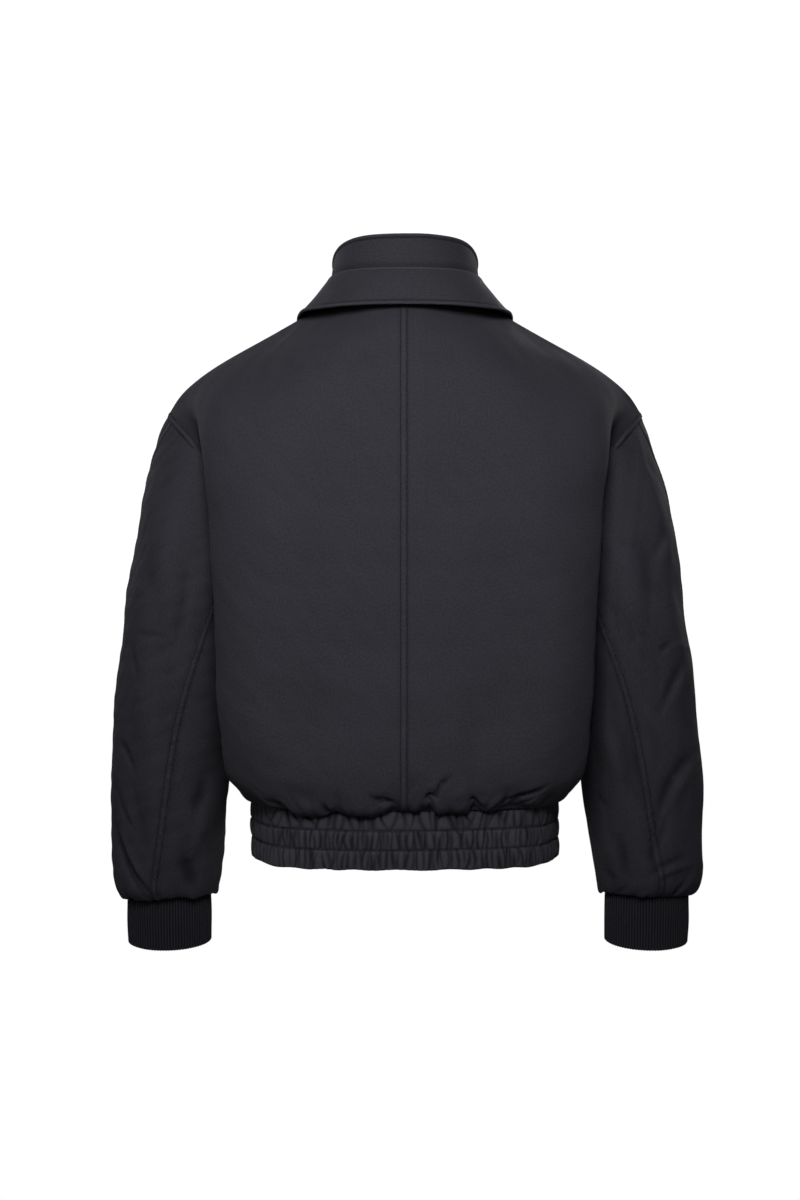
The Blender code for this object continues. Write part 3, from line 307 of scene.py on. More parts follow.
# ---------------------------------------------------------------- curves and grids
def unit(vectors):
    """Vectors of length one."""
    length = np.linalg.norm(vectors, axis=-1, keepdims=True)
    return vectors / np.maximum(length, 1e-12)


def smooth_curve(knots, points, at):
    """A natural cubic curve through points at the given knots, read at the values in at."""
    knots = np.asarray(knots, float)
    points = np.asarray(points, float)
    count = len(knots)
    span = np.diff(knots)
    slope = np.diff(points, axis=0) / span[:, None]
    matrix = np.eye(count)
    right = np.zeros_like(points)
    for i in range(1, count - 1):
        matrix[i, i - 1:i + 2] = span[i - 1], 2 * (span[i - 1] + span[i]), span[i]
        right[i] = 6 * (slope[i] - slope[i - 1])
    bend = np.linalg.solve(matrix, right)
    at = np.asarray(at, float)
    k = np.clip(np.searchsorted(knots, at, side="right") - 1, 0, count - 2)
    after = (at - knots[k])[:, None]
    before = (knots[k + 1] - at)[:, None]
    width = span[k][:, None]
    ends = (bend[k] * before ** 3 + bend[k + 1] * after ** 3) / (6 * width)
    start = points[k] / width - bend[k] * width / 6
    stop = points[k + 1] / width - bend[k + 1] * width / 6
    return ends + start * before + stop * after


def chord_knots(points):
    """Knots that grow with the distance between the points."""
    step = np.linalg.norm(np.diff(np.asarray(points, float), axis=0), axis=1)
    return np.concatenate([[0.0], np.cumsum(step)])


def read_along(points, places, at):
    """A line of points read at the values in at; places are the values of its own points."""
    return np.column_stack([np.interp(at, places, points[:, k]) for k in range(3)])


def bell(values, middle, width):
    """A soft bell over the values: 1 at its middle and nearly 0 two widths away."""
    return np.exp(-((values - middle) / width) ** 2)


def between(knots, counts):
    """Evenly spaced values from knot to knot, counts[i] steps in gap i, both ends included."""
    values = [knots[0]]
    for i, count in enumerate(counts):
        for step in range(1, count + 1):
            values.append(knots[i] + (knots[i + 1] - knots[i]) * step / count)
    return np.array(values)


def across(points, counts, mirrored):
    """One row through the points of the lines. A mirrored row runs on past x = 0 to its other half."""
    points = np.asarray(points, float)
    if not mirrored:
        knots = chord_knots(points)
        return smooth_curve(knots, points, between(knots, counts))
    other = points[::-1] * (-1, 1, 1)
    if abs(points[0, 0]) < 1e-9:
        other = other[:-1]
    whole = np.concatenate([other, points])
    knots = chord_knots(whole)
    return smooth_curve(knots, whole, between(knots[len(other):], counts))


def grid_normals(grid, closed=False):
    """Normals of a grid, from the run of its rows and columns."""
    along = np.gradient(grid, axis=0)
    round_about = np.gradient(grid, axis=1)
    if closed:
        round_about[:, 0] = grid[:, 1] - grid[:, -2]
        round_about[:, -1] = round_about[:, 0]
    return unit(np.cross(round_about, along))


def pull_edges_in(grid, amount, closed=False):
    """The grid with its outermost rows and columns moved towards their neighbours."""
    moved = grid.copy()
    moved[0] += amount * unit(grid[1] - grid[0])
    moved[-1] += amount * unit(grid[-2] - grid[-1])
    if not closed:
        moved[:, 0] += amount * unit(grid[:, 1] - grid[:, 0])
        moved[:, -1] += amount * unit(grid[:, -2] - grid[:, -1])
    return moved


def facing_back(normals, row, column):
    """The normals, all turned round if the one in that place looks forwards."""
    return -normals if normals[row, column] @ (0, 1, 0) < 0 else normals


def mirror(grid):
    """The same grid on the wearer's right."""
    return grid * (-1, 1, 1)


SIDES = (("left", lambda grid: grid), ("right", mirror))   # each side, and what brings a left grid there


# ---------------------------------------------------------------- neck and collars
FOOT_POINTS = 7             # points of the fall collar beside the stand collar, below the fold
FOLD_BENDS = range(15, 181, 15)            # degrees round the fold
FOLD_CREST = FOOT_POINTS + 6               # rows of the fall collar: the crest of its fold and the fold's end
FOLD_END = FOOT_POINTS - 1 + len(FOLD_BENDS)


def neck(turn):
    """Neck seam. turn runs from 0 at the nape to 1 at the throat, on the left; below 0 it is the right."""
    angle = math.pi * turn
    reach = NECK_TO_NAPE if math.cos(angle) > 0 else NECK_TO_THROAT
    x = NECK_HALF_WIDTH * math.sin(angle)
    y = NECK_MIDDLE_Y + reach * math.cos(angle)
    z = NECK_SIDE_RISE * math.sin(abs(angle)) ** 2
    if math.cos(angle) <= 0:
        z = NECK_SIDE_RISE - THROAT_DROP * abs(math.cos(angle)) ** 1.6
    return np.array((x, y, z))


def stand_top(turn):
    """Top edge of the stand collar, over the same turn of the neck."""
    angle = math.pi * turn
    swing = math.cos(angle)
    x = STAND_HALF_WIDTH * math.sin(angle)
    y = STAND_MIDDLE_Y + STAND_DEPTH * swing
    rise = STAND_BACK_RISE * (1 - (1 - swing) ** 1.6) if swing > 0 else -STAND_FRONT_DROP * abs(swing) ** 1.1
    return np.array((x, y, STAND_SIDE_Z + rise))


def stand_skin(turn, share):
    """A point of the stand collar's outer skin, share of the way up from the neck seam."""
    low = neck(turn)
    high = stand_top(turn)
    point = low + (high - low) * share
    outwards = unit(np.array((point[0], point[1] - NECK_MIDDLE_Y, 0.0)))
    return point + outwards * STAND_BULGE * 4 * share * (1 - share)


def front_end_turn():
    """The turn at which the neck seam reaches the front edge, beside the zip."""
    return 1 - math.asin(FRONT_EDGE_X / NECK_HALF_WIDTH) / math.pi


def neck_turns(back_steps, front_steps):
    """Turns of the left half, from the nape to the front edge, by way of the shoulder seam."""
    back = [NECK_POINT_TURN * i / back_steps for i in range(back_steps)]
    last = front_end_turn()
    front = [NECK_POINT_TURN + (last - NECK_POINT_TURN) * i / front_steps for i in range(front_steps + 1)]
    return back + front


def both_sides(turns):
    """The same turns from the right front edge round the nape to the left front edge."""
    return [-turn for turn in turns[:0:-1]] + list(turns)


def stand_grid(turns, shares):
    """Outer skin of the stand collar."""
    return np.array([[stand_skin(turn, share) for turn in turns] for share in shares])


def fall_edge(turn):
    """Outer edge of the fall collar."""
    last = front_end_turn()
    half = np.array([(spot.x, spot.y, spot.z) for spot in FALL_EDGE])
    knots = np.array([spot.turn for spot in FALL_EDGE])
    whole = np.concatenate([half[:0:-1] * (-1, 1, 1), half])
    both = np.concatenate([-knots[:0:-1], knots])
    return smooth_curve(both, whole, [turn / last])[0]


def fall_section(turn, fall_parts):
    """The fall collar's outer skin at one turn: up beside the stand collar, over the fold, down to the edge."""
    share = abs(turn) / front_end_turn()
    roll = ROLL_SHARE_BACK + (ROLL_SHARE_FRONT - ROLL_SHARE_BACK) * share ** 3
    here = stand_skin(turn, roll)
    upwards = unit(stand_skin(turn, roll + 0.02) - stand_skin(turn, roll - 0.02))
    sideways = stand_skin(turn + 0.01, roll) - stand_skin(turn - 0.01, roll)
    outwards = unit(np.cross(upwards, sideways))
    if outwards @ (here - (0, NECK_MIDDLE_Y, here[2])) < 0:
        outwards = -outwards
    points = []
    for part in np.linspace(0, 1, FOOT_POINTS):
        foot = stand_skin(turn, roll * part) + outwards * SEAM_GAP
        points.append(foot + upwards * 0.0006 * (1 - part))
    for bend in FOLD_BENDS:
        angle = math.radians(bend)
        centre = here + outwards * (SEAM_GAP + FOLD_ROUND)
        points.append(centre - outwards * FOLD_ROUND * math.cos(angle) + upwards * FOLD_ROUND * math.sin(angle))
    start = points[-1]
    stop = fall_edge(turn)
    out = unit(np.cross(stop - start, sideways))
    if out @ outwards < 0:
        out = -out
    bulge = np.interp(share, FALL_SHARES, FALL_BULGES)
    for part in fall_parts:
        points.append(start + (stop - start) * part + out * bulge * 4 * part * (1 - part))
    return points


def fall_grid(turns, fall_parts):
    """Outer skin of the fall collar."""
    return np.array([fall_section(turn, fall_parts) for turn in turns]).transpose(1, 0, 2)


# ---------------------------------------------------------------- body
def plan_quarter(half_width, reach, middle_y, turn):
    """A point of the plan curve from the middle of the back or front, turn degrees towards the side."""
    angle = math.radians(turn)
    power = 2 / BACK_FLATNESS
    return half_width * math.sin(angle) ** power, middle_y + reach * math.cos(angle) ** power


def ease(share):
    """A soft step from 1 to 0."""
    return 0.5 + 0.5 * math.cos(math.pi * share)


def ring_lines(ring):
    """Points of one ring on the back's six lines and the front's six lines."""
    back = [(0.0, ring.back_y, ring.z)]
    front = [(FRONT_EDGE_X, ring.edge_y, ring.edge_z)]
    for share, turn in ((0.55, BLADE_TURN), (0.9, YOKE_TURN)):
        x, y = plan_quarter(ring.fold_x, ring.back_y - ring.fold_y, ring.fold_y, turn)
        back.append((x, y, ring.z))
        x, y = plan_quarter(ring.breast_x, ring.edge_y - ring.breast_y, ring.breast_y, turn)
        front.append((x, y, ring.edge_z + (ring.z - ring.edge_z) * share))
    back.append((ring.fold_x, ring.fold_y, ring.z))
    front.append((ring.breast_x, ring.breast_y, ring.z))
    for line, top_x, top_y in ((back, ring.fold_x, ring.fold_y), (front, ring.breast_x, ring.breast_y)):
        x = ring.side_x + (top_x - ring.side_x) * VALLEY_SHARE
        y = (top_y + ring.side_y) / 2
        line.append((x, y, ring.z))
        line.append((ring.side_x, ring.side_y, ring.z))
    return back, front


def level_knots(net):
    """Knots up the body, from the mean distance between two levels."""
    step = np.linalg.norm(np.diff(net, axis=0), axis=2).mean(axis=1)
    return np.concatenate([[0.0], np.cumsum(step)])


def body_half(net, row_counts, column_counts, top_exact):
    """One panel of the body's left half: rows from the waist seam up, columns from the middle to the side."""
    knots = level_knots(net)
    values = between(knots, row_counts)
    lines = []
    for j in range(net.shape[1]):
        if j < net.shape[1] - 1:
            lines.append(smooth_curve(knots, net[:, j], values))
            continue
        split = sum(row_counts[:UNDERARM])
        below = smooth_curve(knots[:UNDERARM + 1], net[:UNDERARM + 1, j], values[:split + 1])
        above = smooth_curve(knots[UNDERARM:], net[UNDERARM:, j], values[split:])
        lines.append(np.concatenate([below, above[1:]]))
    lines = np.array(lines).transpose(1, 0, 2)
    grid = np.array([across(row, column_counts, True) for row in lines])
    drift = top_exact - grid[-1]
    for i, value in enumerate(values):
        share = max(0.0, (value - knots[-2]) / (knots[-1] - knots[-2]))
        grid[i] += drift * share ** 3
    return grid


def body_skins():
    """Outer skins of the left back and the left front."""
    back_net = []
    front_net = []
    for ring in RINGS:
        back, front = ring_lines(ring)
        back_net.append(back)
        front_net.append(front)
    for i in range(len(BACK_MIDDLE)):
        back_net.append([line[i] for line in (BACK_MIDDLE, BLADE, BACK_YOKE, BACK_FOLD, BACK_VALLEY, BACK_SCYE)])
        front_net.append([line[i] for line in
                          (FRONT_MIDDLE, BREAST, FRONT_YOKE, FRONT_FOLD, FRONT_VALLEY, FRONT_SCYE)])
    neck_point = neck(NECK_POINT_TURN)
    shoulder = np.array([neck_point] + [tuple(spot) for spot in SHOULDER])
    back_net.append([neck(0.0)] + list(shoulder))
    front_net.append([neck(front_end_turn())] + list(shoulder))
    turns = neck_turns(BACK_COLUMNS[0], FRONT_COLUMNS[0])
    along_shoulder = across(shoulder, BACK_COLUMNS[1:], False)
    back_top = np.array([neck(turn) for turn in turns[:BACK_COLUMNS[0]]] + list(along_shoulder))
    front_turns = turns[BACK_COLUMNS[0]:][::-1]
    front_top = np.array([neck(turn) for turn in front_turns[:-1]] + list(along_shoulder))
    rows = ROWS_BELOW + ROWS_ABOVE
    back = body_half(np.array(back_net), rows, BACK_COLUMNS, back_top)
    front = body_half(np.array(front_net), rows, FRONT_COLUMNS, front_top)
    back[:, 0, 0] = 0.0
    front[:, 0, 0] = FRONT_EDGE_X
    return back, front


# ---------------------------------------------------------------- sleeves
def section_point(station, angle):
    """A point of a sleeve section, angle degrees from its outer end by way of the back."""
    outer = np.array((station.outer_x, 0.0, station.outer_z))
    inner = np.array((station.inner_x, 0.0, station.inner_z))
    middle = (outer + inner) / 2 + (0.0, station.mid_y, 0.0)
    half = (outer - inner) / 2
    tilt = math.radians(station.tilt)
    back = np.array((0.0, math.cos(tilt), -math.sin(tilt))) * station.half_depth
    return middle + half * math.cos(math.radians(angle)) + back * math.sin(math.radians(angle))


def column_angles(station, columns, outer_column, elbow_column):
    """Degrees round the section for each column, so that the seams run along columns."""
    under = columns // 2
    keys = (outer_column, elbow_column, under, columns + outer_column)
    angles = (station.outer_seam, station.elbow_seam, 180.0, 360.0 + station.outer_seam)
    places = [j if j >= outer_column else j + columns for j in range(columns)]
    return np.interp(places, keys, angles)


def stations_between(counts):
    """The stations with more in between where counts asks for them."""
    table = np.array(STATIONS)
    middle = (table[:, (0, 1)] + table[:, (2, 3)]) / 2
    knots = chord_knots(np.column_stack([middle, table[:, 4:6]]))
    values = between(knots, counts)
    places = np.interp(values, knots, np.arange(len(STATIONS)))
    return [Station(*row) for row in smooth_curve(knots, table, values)], places


def sleeve_skin(scye):
    """Outer skin of the left sleeve. scye is the armhole's ring, from the shoulder by way of the back."""
    columns = len(scye)
    outer_column = columns // 20
    elbow_column = columns * 8 // 20
    stations, places = stations_between(ROWS_SLEEVE)
    first = [section_point(stations[0], angle)
             for angle in column_angles(stations[0], columns, outer_column, elbow_column)]
    drift = scye - np.array(first)
    grid = []
    for station, place in zip(stations, places):
        fade = ease(min(1.0, place / SCYE_PLACES))
        angles = column_angles(station, columns, outer_column, elbow_column)
        ring = np.array([section_point(station, angle) for angle in angles]) + drift * fade
        grid.append(np.concatenate([ring, ring[:1]]))
    return np.array(grid), outer_column, elbow_column


def wrist_shift(grid, side):
    """The lower sleeve moved outwards a little, by the amount of that side."""
    top = STATIONS[5].outer_z
    bottom = STATIONS[-1].outer_z
    share = np.clip((grid[..., 2] - top) / (bottom - top), 0, 1)
    moved = grid.copy()
    moved[..., 0] += WRIST_SHIFT[side] * share ** 2
    return moved


def cuff_skin(seam_ring, side, rows):
    """Outer skin of a cuff, from its seam with the sleeve down to the wrist opening."""
    columns = len(seam_ring) - 1
    angles = column_angles(CUFF_END, columns, columns // 20, columns * 8 // 20)
    end = np.array([section_point(CUFF_END, angle) for angle in angles])
    end[:, 0] += WRIST_SHIFT[side]
    end = np.concatenate([end, end[:1]])
    start = seam_ring + (0.0, 0.0, -SEAM_GAP)
    return np.array([start + (end - start) * i / rows for i in range(rows + 1)])


# ---------------------------------------------------------------- zip
def strip_at(rows, normals, walls, x_values):
    """A strip behind the front edge: each row's points at the given x, moved in past that row's wall."""
    grid = []
    for row, normal, thick in zip(rows, normals, walls):
        line = []
        for x in x_values:
            share = max(0.0, (x - row[0, 0]) / (row[1, 0] - row[0, 0]))
            point = row[0] + (row[1] - row[0]) * share
            direction = unit(normal[0] + (normal[1] - normal[0]) * share)
            line.append(np.array((x, point[1], point[2])) - direction * (thick + TAPE_GAP))
        grid.append(line)
    return np.array(grid)


# ---------------------------------------------------------------- relief of the cloth
TROUGH_DROP = 0.7           # light from above draws the dark of a trough this share of its width higher
CREASE_STEPS = 25           # places along a crease
MILLIMETRE = 0.001

# Soft waves over a whole piece: their lengths and their height.
Waves = namedtuple("Waves", "lengths height")
BODY_WAVES = (Waves((0.06, 0.075, 0.09, 0.11, 0.14), 0.0013), Waves((0.018, 0.024, 0.031, 0.038), 0.0005))
SLEEVE_WAVES = (Waves((0.05, 0.065, 0.08, 0.10, 0.13), 0.0032), Waves((0.016, 0.022, 0.029, 0.036), 0.0008))


def soft_step(values):
    """0 below 0, 1 above 1, and smooth between."""
    share = np.clip(values, 0.0, 1.0)
    return share * share * (3 - 2 * share)


def as_seen(points, from_back):
    """x and z of points, brought along the line of sight to the plane y = 0."""
    near = points[..., 1] if from_back else -points[..., 1]
    scale = CAMERA_Y / (CAMERA_Y - near)
    x = CAMERA_X + (points[..., 0] - CAMERA_X) * scale
    z = CAMERA_Z + (points[..., 2] - CAMERA_Z) * scale
    return np.stack([x, z], axis=-1)


def crease_relief(points, facing, creases):
    """Height of the creases over points; facing says how much each point looks at the viewer."""
    flat = points.reshape(-1, 2)
    weight = soft_step((facing.reshape(-1) - 0.05) / 0.3)
    total = np.zeros(len(flat))
    steps = np.linspace(0, 1, CREASE_STEPS)
    for crease in creases:
        width = crease.width * MILLIMETRE
        start, middle, stop = np.array(crease[:6]).reshape(3, 2) * MILLIMETRE
        if crease.height < 0:
            start, middle, stop = (place - (0.0, TROUGH_DROP * width) for place in (start, middle, stop))
        bend = 2 * middle - (start + stop) / 2
        path = np.outer((1 - steps) ** 2, start) + np.outer(2 * steps * (1 - steps), bend) + np.outer(steps ** 2, stop)
        low, high = path.min(axis=0) - 3 * width, path.max(axis=0) + 3 * width
        near = np.nonzero(((flat > low) & (flat < high)).all(axis=1) & (weight > 0))[0]
        if not len(near):
            continue
        gap = flat[near][:, None] - path[None]
        away = np.linalg.norm(gap, axis=2)
        best = away.argmin(axis=1)
        run = np.gradient(path, axis=0)[best]
        offset = gap[np.arange(len(near)), best]
        side = np.sign(run[:, 0] * offset[:, 1] - run[:, 1] * offset[:, 0])
        share = away[np.arange(len(near)), best] / width
        taper = np.sin(np.pi * np.clip(steps[best], 0.04, 0.96)) ** 0.6
        shape = np.exp(-share ** 2) * (1 - crease.lean * 1.6 * side * share)
        total[near] += crease.height * MILLIMETRE * taper * shape * weight[near]
    return total.reshape(points.shape[:-1])


def smoothed(values, times):
    """The values with each point evened out with its neighbours."""
    for _ in range(times):
        wide = np.pad(values, 1, mode="edge")
        values = (wide[1:-1, :-2] + wide[1:-1, 2:] + wide[:-2, 1:-1] + wide[2:, 1:-1] + 2 * values) / 6
    return values


def painted_fold_shade(relief, times=24, full=0.0022, most=0.5):
    """Painted shade of the folds: below 0 where the relief lies lower than the cloth round it."""
    return -most * np.clip((smoothed(relief, times) - relief) / full, 0, 1)


def mirrored_creases(creases, drop):
    """The same creases on the other side of the body, drop millimetres lower."""
    return [c._replace(x1=-c.x1, x2=-c.x2, x3=-c.x3, z1=c.z1 - drop, z2=c.z2 - drop, z3=c.z3 - drop)
            for c in creases]


def unevenness(points, lengths, height, seed):
    """A low, soft unevenness of a few crossing waves of the given lengths."""
    draw = np.random.default_rng(seed)
    total = np.zeros(points.shape[:-1])
    for length in lengths:
        direction = unit(draw.normal(size=3))
        phase = draw.uniform(0, 2 * np.pi)
        bend = 0.6 * np.sin(points @ unit(draw.normal(size=3)) * 2 * np.pi / (length * 2.3) + phase)
        total += np.sin(points @ direction * 2 * np.pi / length + phase + bend)
    return total * height / len(lengths)


def gathers(around, up, girth, pitch, reach, depth, seed, closed):
    """Small pleats that run up from a seam: around and up are distances in the cloth from its start."""
    draw = np.random.default_rng(seed)
    total = np.zeros(around.shape)
    place = pitch * draw.uniform(0.2, 0.8)
    while place < girth:
        width = draw.uniform(0.0022, 0.0046)
        tall = reach * draw.uniform(0.35, 1.25)
        deep = depth * draw.uniform(0.3, 1.3) * (1 if draw.uniform() < 0.75 else -0.8)
        slant = draw.normal() * 0.35
        for turn in ((-girth, 0.0, girth) if closed else (0.0,)):
            off = around - (place + turn) - slant * up
            total -= deep * np.exp(-(off / width) ** 2 - (up / tall) ** 2)
        place += pitch * draw.uniform(0.5, 1.6)
    return total


def puckers(away, along, pitch, reach, height, seed):
    """Small slanting wrinkles beside a stitched seam."""
    draw = np.random.default_rng(seed)
    knots = np.arange(along.min() - pitch, along.max() + 2 * pitch, pitch)
    shifted = knots + draw.uniform(-0.3, 0.3, len(knots)) * pitch
    strong = draw.uniform(0.25, 1.0, len(knots))
    run = along + 0.55 * away
    phase = np.interp(run, shifted, np.arange(len(knots)))
    size = np.interp(run, shifted, strong)
    return height * size * np.cos(2 * np.pi * phase) * bell(away, 0, reach)


def lengths_across(grid):
    """Distance in the cloth from the first column."""
    step = np.linalg.norm(np.diff(grid, axis=1), axis=2)
    return np.concatenate([np.zeros((len(grid), 1)), np.cumsum(step, axis=1)], axis=1)


def lengths_up(grid):
    """Distance in the cloth from the first row."""
    step = np.linalg.norm(np.diff(grid, axis=0), axis=2)
    return np.concatenate([np.zeros((1, grid.shape[1])), np.cumsum(step, axis=0)], axis=0)


# ---------------------------------------------------------------- cloth pieces
ROLL_BENDS = (0.0, 30.0, 60.0, 90.0)   # degrees round a turned edge


def turned_edge(edge, neighbour, sink, radius):
    """Rows that turn over the edge of a cloth piece, from its face to halfway through."""
    beyond = unit(edge - neighbour)
    rows = []
    for bend in ROLL_BENDS:
        angle = math.radians(bend)
        rows.append(edge - beyond * radius * (1 - math.sin(angle)) + sink * radius * (1 - math.cos(angle)))
    return rows


def turn_edges(grid, inward, uv, radius, closed):
    """The grid with its edges turned over, and the flat places of its points."""
    sink = unit(inward)
    count = len(ROLL_BENDS)
    low = turned_edge(grid[0], grid[1], sink[0], radius)
    high = turned_edge(grid[-1], grid[-2], sink[-1], radius)
    grid = np.concatenate([np.array(low[::-1]), grid[1:-1], np.array(high)])
    repeat = [0] * count + list(range(1, len(sink) - 1)) + [len(sink) - 1] * count
    sink, uv = sink[repeat], uv[repeat]
    if closed:
        return grid, uv
    low = turned_edge(grid[:, 0], grid[:, 1], sink[:, 0], radius)
    high = turned_edge(grid[:, -1], grid[:, -2], sink[:, -1], radius)
    grid = np.concatenate([np.array(low[::-1]).transpose(1, 0, 2), grid[:, 1:-1],
                           np.array(high).transpose(1, 0, 2)], axis=1)
    repeat = [0] * count + list(range(1, sink.shape[1] - 1)) + [sink.shape[1] - 1] * count
    return grid, uv[:, repeat]


def some_of(count, step):
    """Every step-th number below count, with the last one."""
    picked = list(range(0, count - 1, step))
    return picked + [count - 1]


def quads(index, closed, flip):
    """Faces between neighbouring rows and columns of an index grid."""
    if closed:
        index = np.concatenate([index, index[:, :1]], axis=1)
    corners = [index[:-1, :-1], index[:-1, 1:], index[1:, 1:], index[1:, :-1]]
    faces = np.stack([c.ravel() for c in corners], axis=1)
    return (faces[:, ::-1] if flip else faces).tolist()


def rim(front, back, places):
    """Faces between a fine border and a coarse one; places are the coarse border's places on the fine one."""
    faces = []
    for k in range(len(places) - 1):
        faces.append(list(front[places[k]:places[k + 1] + 1]) + [back[k + 1], back[k]])
    return faces


def add_object(name, data):
    """A new object in the scene."""
    made = bpy.data.objects.new(name, data)
    bpy.context.scene.collection.objects.link(made)
    return made


def finish_mesh(name, points, faces, flat, finish):
    """An object with its faces turned outwards, its flat places as UV in metres, its tone shift (painted shade and
    painted highlights, with some real wear) and its material.
    """
    mesh = bpy.data.meshes.new(name)
    mesh.from_pydata(points.tolist(), [], faces)
    corners = np.zeros(len(mesh.loops), dtype=np.int32)
    mesh.loops.foreach_get("vertex_index", corners)
    layer = mesh.uv_layers.new(name="flat")
    layer.data.foreach_set("uv", flat[corners, :2].astype(np.float32).ravel())
    shaped = bmesh.new()
    shaped.from_mesh(mesh)
    bmesh.ops.recalc_face_normals(shaped, faces=shaped.faces)
    shaped.to_mesh(mesh)
    shaped.free()
    if flat.shape[1] > 2:
        # This attribute holds painted shade and painted highlights, with some real wear on rubbed edges.
        rub = mesh.attributes.new("rub", "FLOAT", "POINT")
        rub.data.foreach_set("value", flat[:, 2].astype(np.float32))
    mesh.shade_smooth()
    mesh.materials.append(finish)
    return add_object(name, mesh)


def cloth(name, outer, inward, finish, rub, closed=False, radius=0.0006, step=4):
    """A cloth piece: its face at full detail, a plainer back, and turned edges between them.

    rub is above 0 where the colour is lighter, a painted highlight with some real wear on rubbed edges, and below 0
    where it is painted shade in folds and hollows.
    """
    outer = pull_edges_in(outer, SEAM_GAP / 2, closed)
    rub = np.zeros(outer.shape[:2]) + rub
    if closed:
        outer, inward, rub = outer[:, :-1], inward[:, :-1], rub[:, :-1]
    flat = np.stack([lengths_across(outer), lengths_up(outer), rub], axis=-1)
    face, uv = turn_edges(outer, inward, flat, radius, closed)
    rows, columns = outer.shape[:2]
    extra = len(ROLL_BENDS) - 1
    picked_rows = some_of(rows, step)
    picked_columns = list(range(0, columns, step)) if closed else some_of(columns, step)
    back = (outer + inward)[np.ix_(picked_rows, picked_columns)]
    back_uv = flat[np.ix_(picked_rows, picked_columns)]
    front_index = np.arange(face.shape[0] * face.shape[1]).reshape(face.shape[:2])
    back_index = np.arange(back.shape[0] * back.shape[1]).reshape(back.shape[:2]) + front_index.size
    faces = quads(front_index, closed, False) + quads(back_index, closed, True)

    def places(picked, total):
        """Where the coarse border meets the fine one, the turned corners included."""
        spots = [place + extra for place in picked]
        return [0] + spots[1:-1] + [total - 1]

    if closed:
        spots = picked_columns + [columns]
        for row in (0, -1):
            ring = np.append(front_index[row], front_index[row, 0])
            faces += rim(ring, np.append(back_index[row], back_index[row, 0]), spots)
    else:
        spots = places(picked_columns, face.shape[1])
        for row in (0, -1):
            faces += rim(front_index[row], back_index[row], spots)
        spots = places(picked_rows, face.shape[0])
        for column in (0, -1):
            faces += rim(front_index[:, column], back_index[:, column], spots)
    points = np.concatenate([face.reshape(-1, 3), back.reshape(-1, 3)])
    return finish_mesh(name, points, faces, np.concatenate([uv.reshape(-1, 3), back_uv.reshape(-1, 3)]), finish)


def cut_size(grid):
    """Width, length and area of a piece's flat cut, from the smooth form."""
    across_lines = lengths_across(grid)[:, -1]
    up_lines = lengths_up(grid)[-1]
    one = np.cross(grid[1:, :-1] - grid[:-1, :-1], grid[:-1, 1:] - grid[:-1, :-1])
    two = np.cross(grid[1:, :-1] - grid[1:, 1:], grid[:-1, 1:] - grid[1:, 1:])
    area = (np.linalg.norm(one, axis=2).sum() + np.linalg.norm(two, axis=2).sum()) / 2
    return float(across_lines.max()), float(up_lines.max()), float(area)


def declare(piece, grid, node_name, fullness=1.0):
    """Hangs the piece on the jacket and hides the node of the form that it stands for; its cut's width, length and area
    are worked out but not used.
    """
    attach(piece, "jacket")
    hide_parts(node_name)
    width, length, area = cut_size(grid)
    width, area = width * fullness, area * fullness


# ---------------------------------------------------------------- seams and stitching
STITCH_PITCH = 0.0028
STITCH_LENGTH = 0.0021
STITCH_THICK = 0.00040
STRIP_LIFT = 0.00085        # a felled seam stands this far above the cloth
STRIP_ROWS = 0.0011         # its stitches run this far inside its edges
STRIP_STEP = 0.0020         # metres between its points
STRIP_PITCH = 0.0052        # metres between its cross puckers
STRIP_WALL = 0.0008
RAY_START = 0.006           # a look for the cloth's surface starts this far outside it
RAY_REACH = 0.016

# Lines across a strip, from its edge to its middle: how far in, its share of the lift, and its tone shift: painted
# shade at its edge and along its stitch rows, a faint painted highlight on its top.
StripLine = namedtuple("StripLine", "inset lift rub")
STRIP_EDGE = (
    StripLine(0.0, -0.5, -0.35),
    StripLine(0.000175, 0.35, -0.20),
    StripLine(0.0005, 0.70, 0.0),
    StripLine(STRIP_ROWS, 0.05, -0.95),
    StripLine(1.8 * STRIP_ROWS, 0.80, 0.02),
)
STRIP_CENTRE = StripLine(None, 0.90, 0.05)
# Painted shade in the valleys between the strip's cross puckers.
STRIP_PUCKER_SHADE = 1.4      # how dark the valleys between its cross puckers are

# What a felled seam does to the cloth beside it: its puckers, and a soft groove with painted shade along it.
Seam = namedtuple("Seam", "pitch reach height groove groove_at groove_width dark_at")
CENTRE_SEAM = Seam(0.0065, 0.006, 0.00014, 0.0003, 0.0052, 0.0018, 0.0055)
OUTER_SEAM = Seam(0.0055, 0.006, 0.00015, 0.0004, 0.0050, 0.0016, 0.0054)
ELBOW_SEAM = Seam(0.0055, 0.010, 0.00060, 0.0004, 0.0050, 0.0016, 0.0054)
# Painted shade in the groove beside a felled seam: its strength and its width.
SEAM_SHADE = 0.12
SEAM_SHADE_WIDTH = 0.0010

# A stitch: its tips are in the cloth, and between them it has two rings of corners.
STITCH_TIP = (0.5, -0.6)                # share of its length, share of its thickness
STITCH_RING = (0.28, 0.95)              # share of its length, shares of its thickness
STITCH_TURNS = (0, 60, 120, 180, 270)   # degrees round a ring


def seam_relief(away, along, seam, seed):
    """Puckers beside a felled seam and the groove along it."""
    groove = seam.groove * bell(away, seam.groove_at, seam.groove_width)
    return puckers(away, along, seam.pitch, seam.reach, seam.height, seed) - groove


def seam_painted_shade(away, seam):
    """Painted shade: a darker line in the groove beside a felled seam."""
    return -SEAM_SHADE * bell(away, seam.dark_at, SEAM_SHADE_WIDTH)


def spaced(path, vectors, pitch):
    """The path and its vectors at even distances."""
    along = chord_knots(path)
    at = np.linspace(0, along[-1], max(2, int(round(along[-1] / pitch))) + 1)
    return read_along(path, along, at), unit(read_along(vectors, along, at)), at


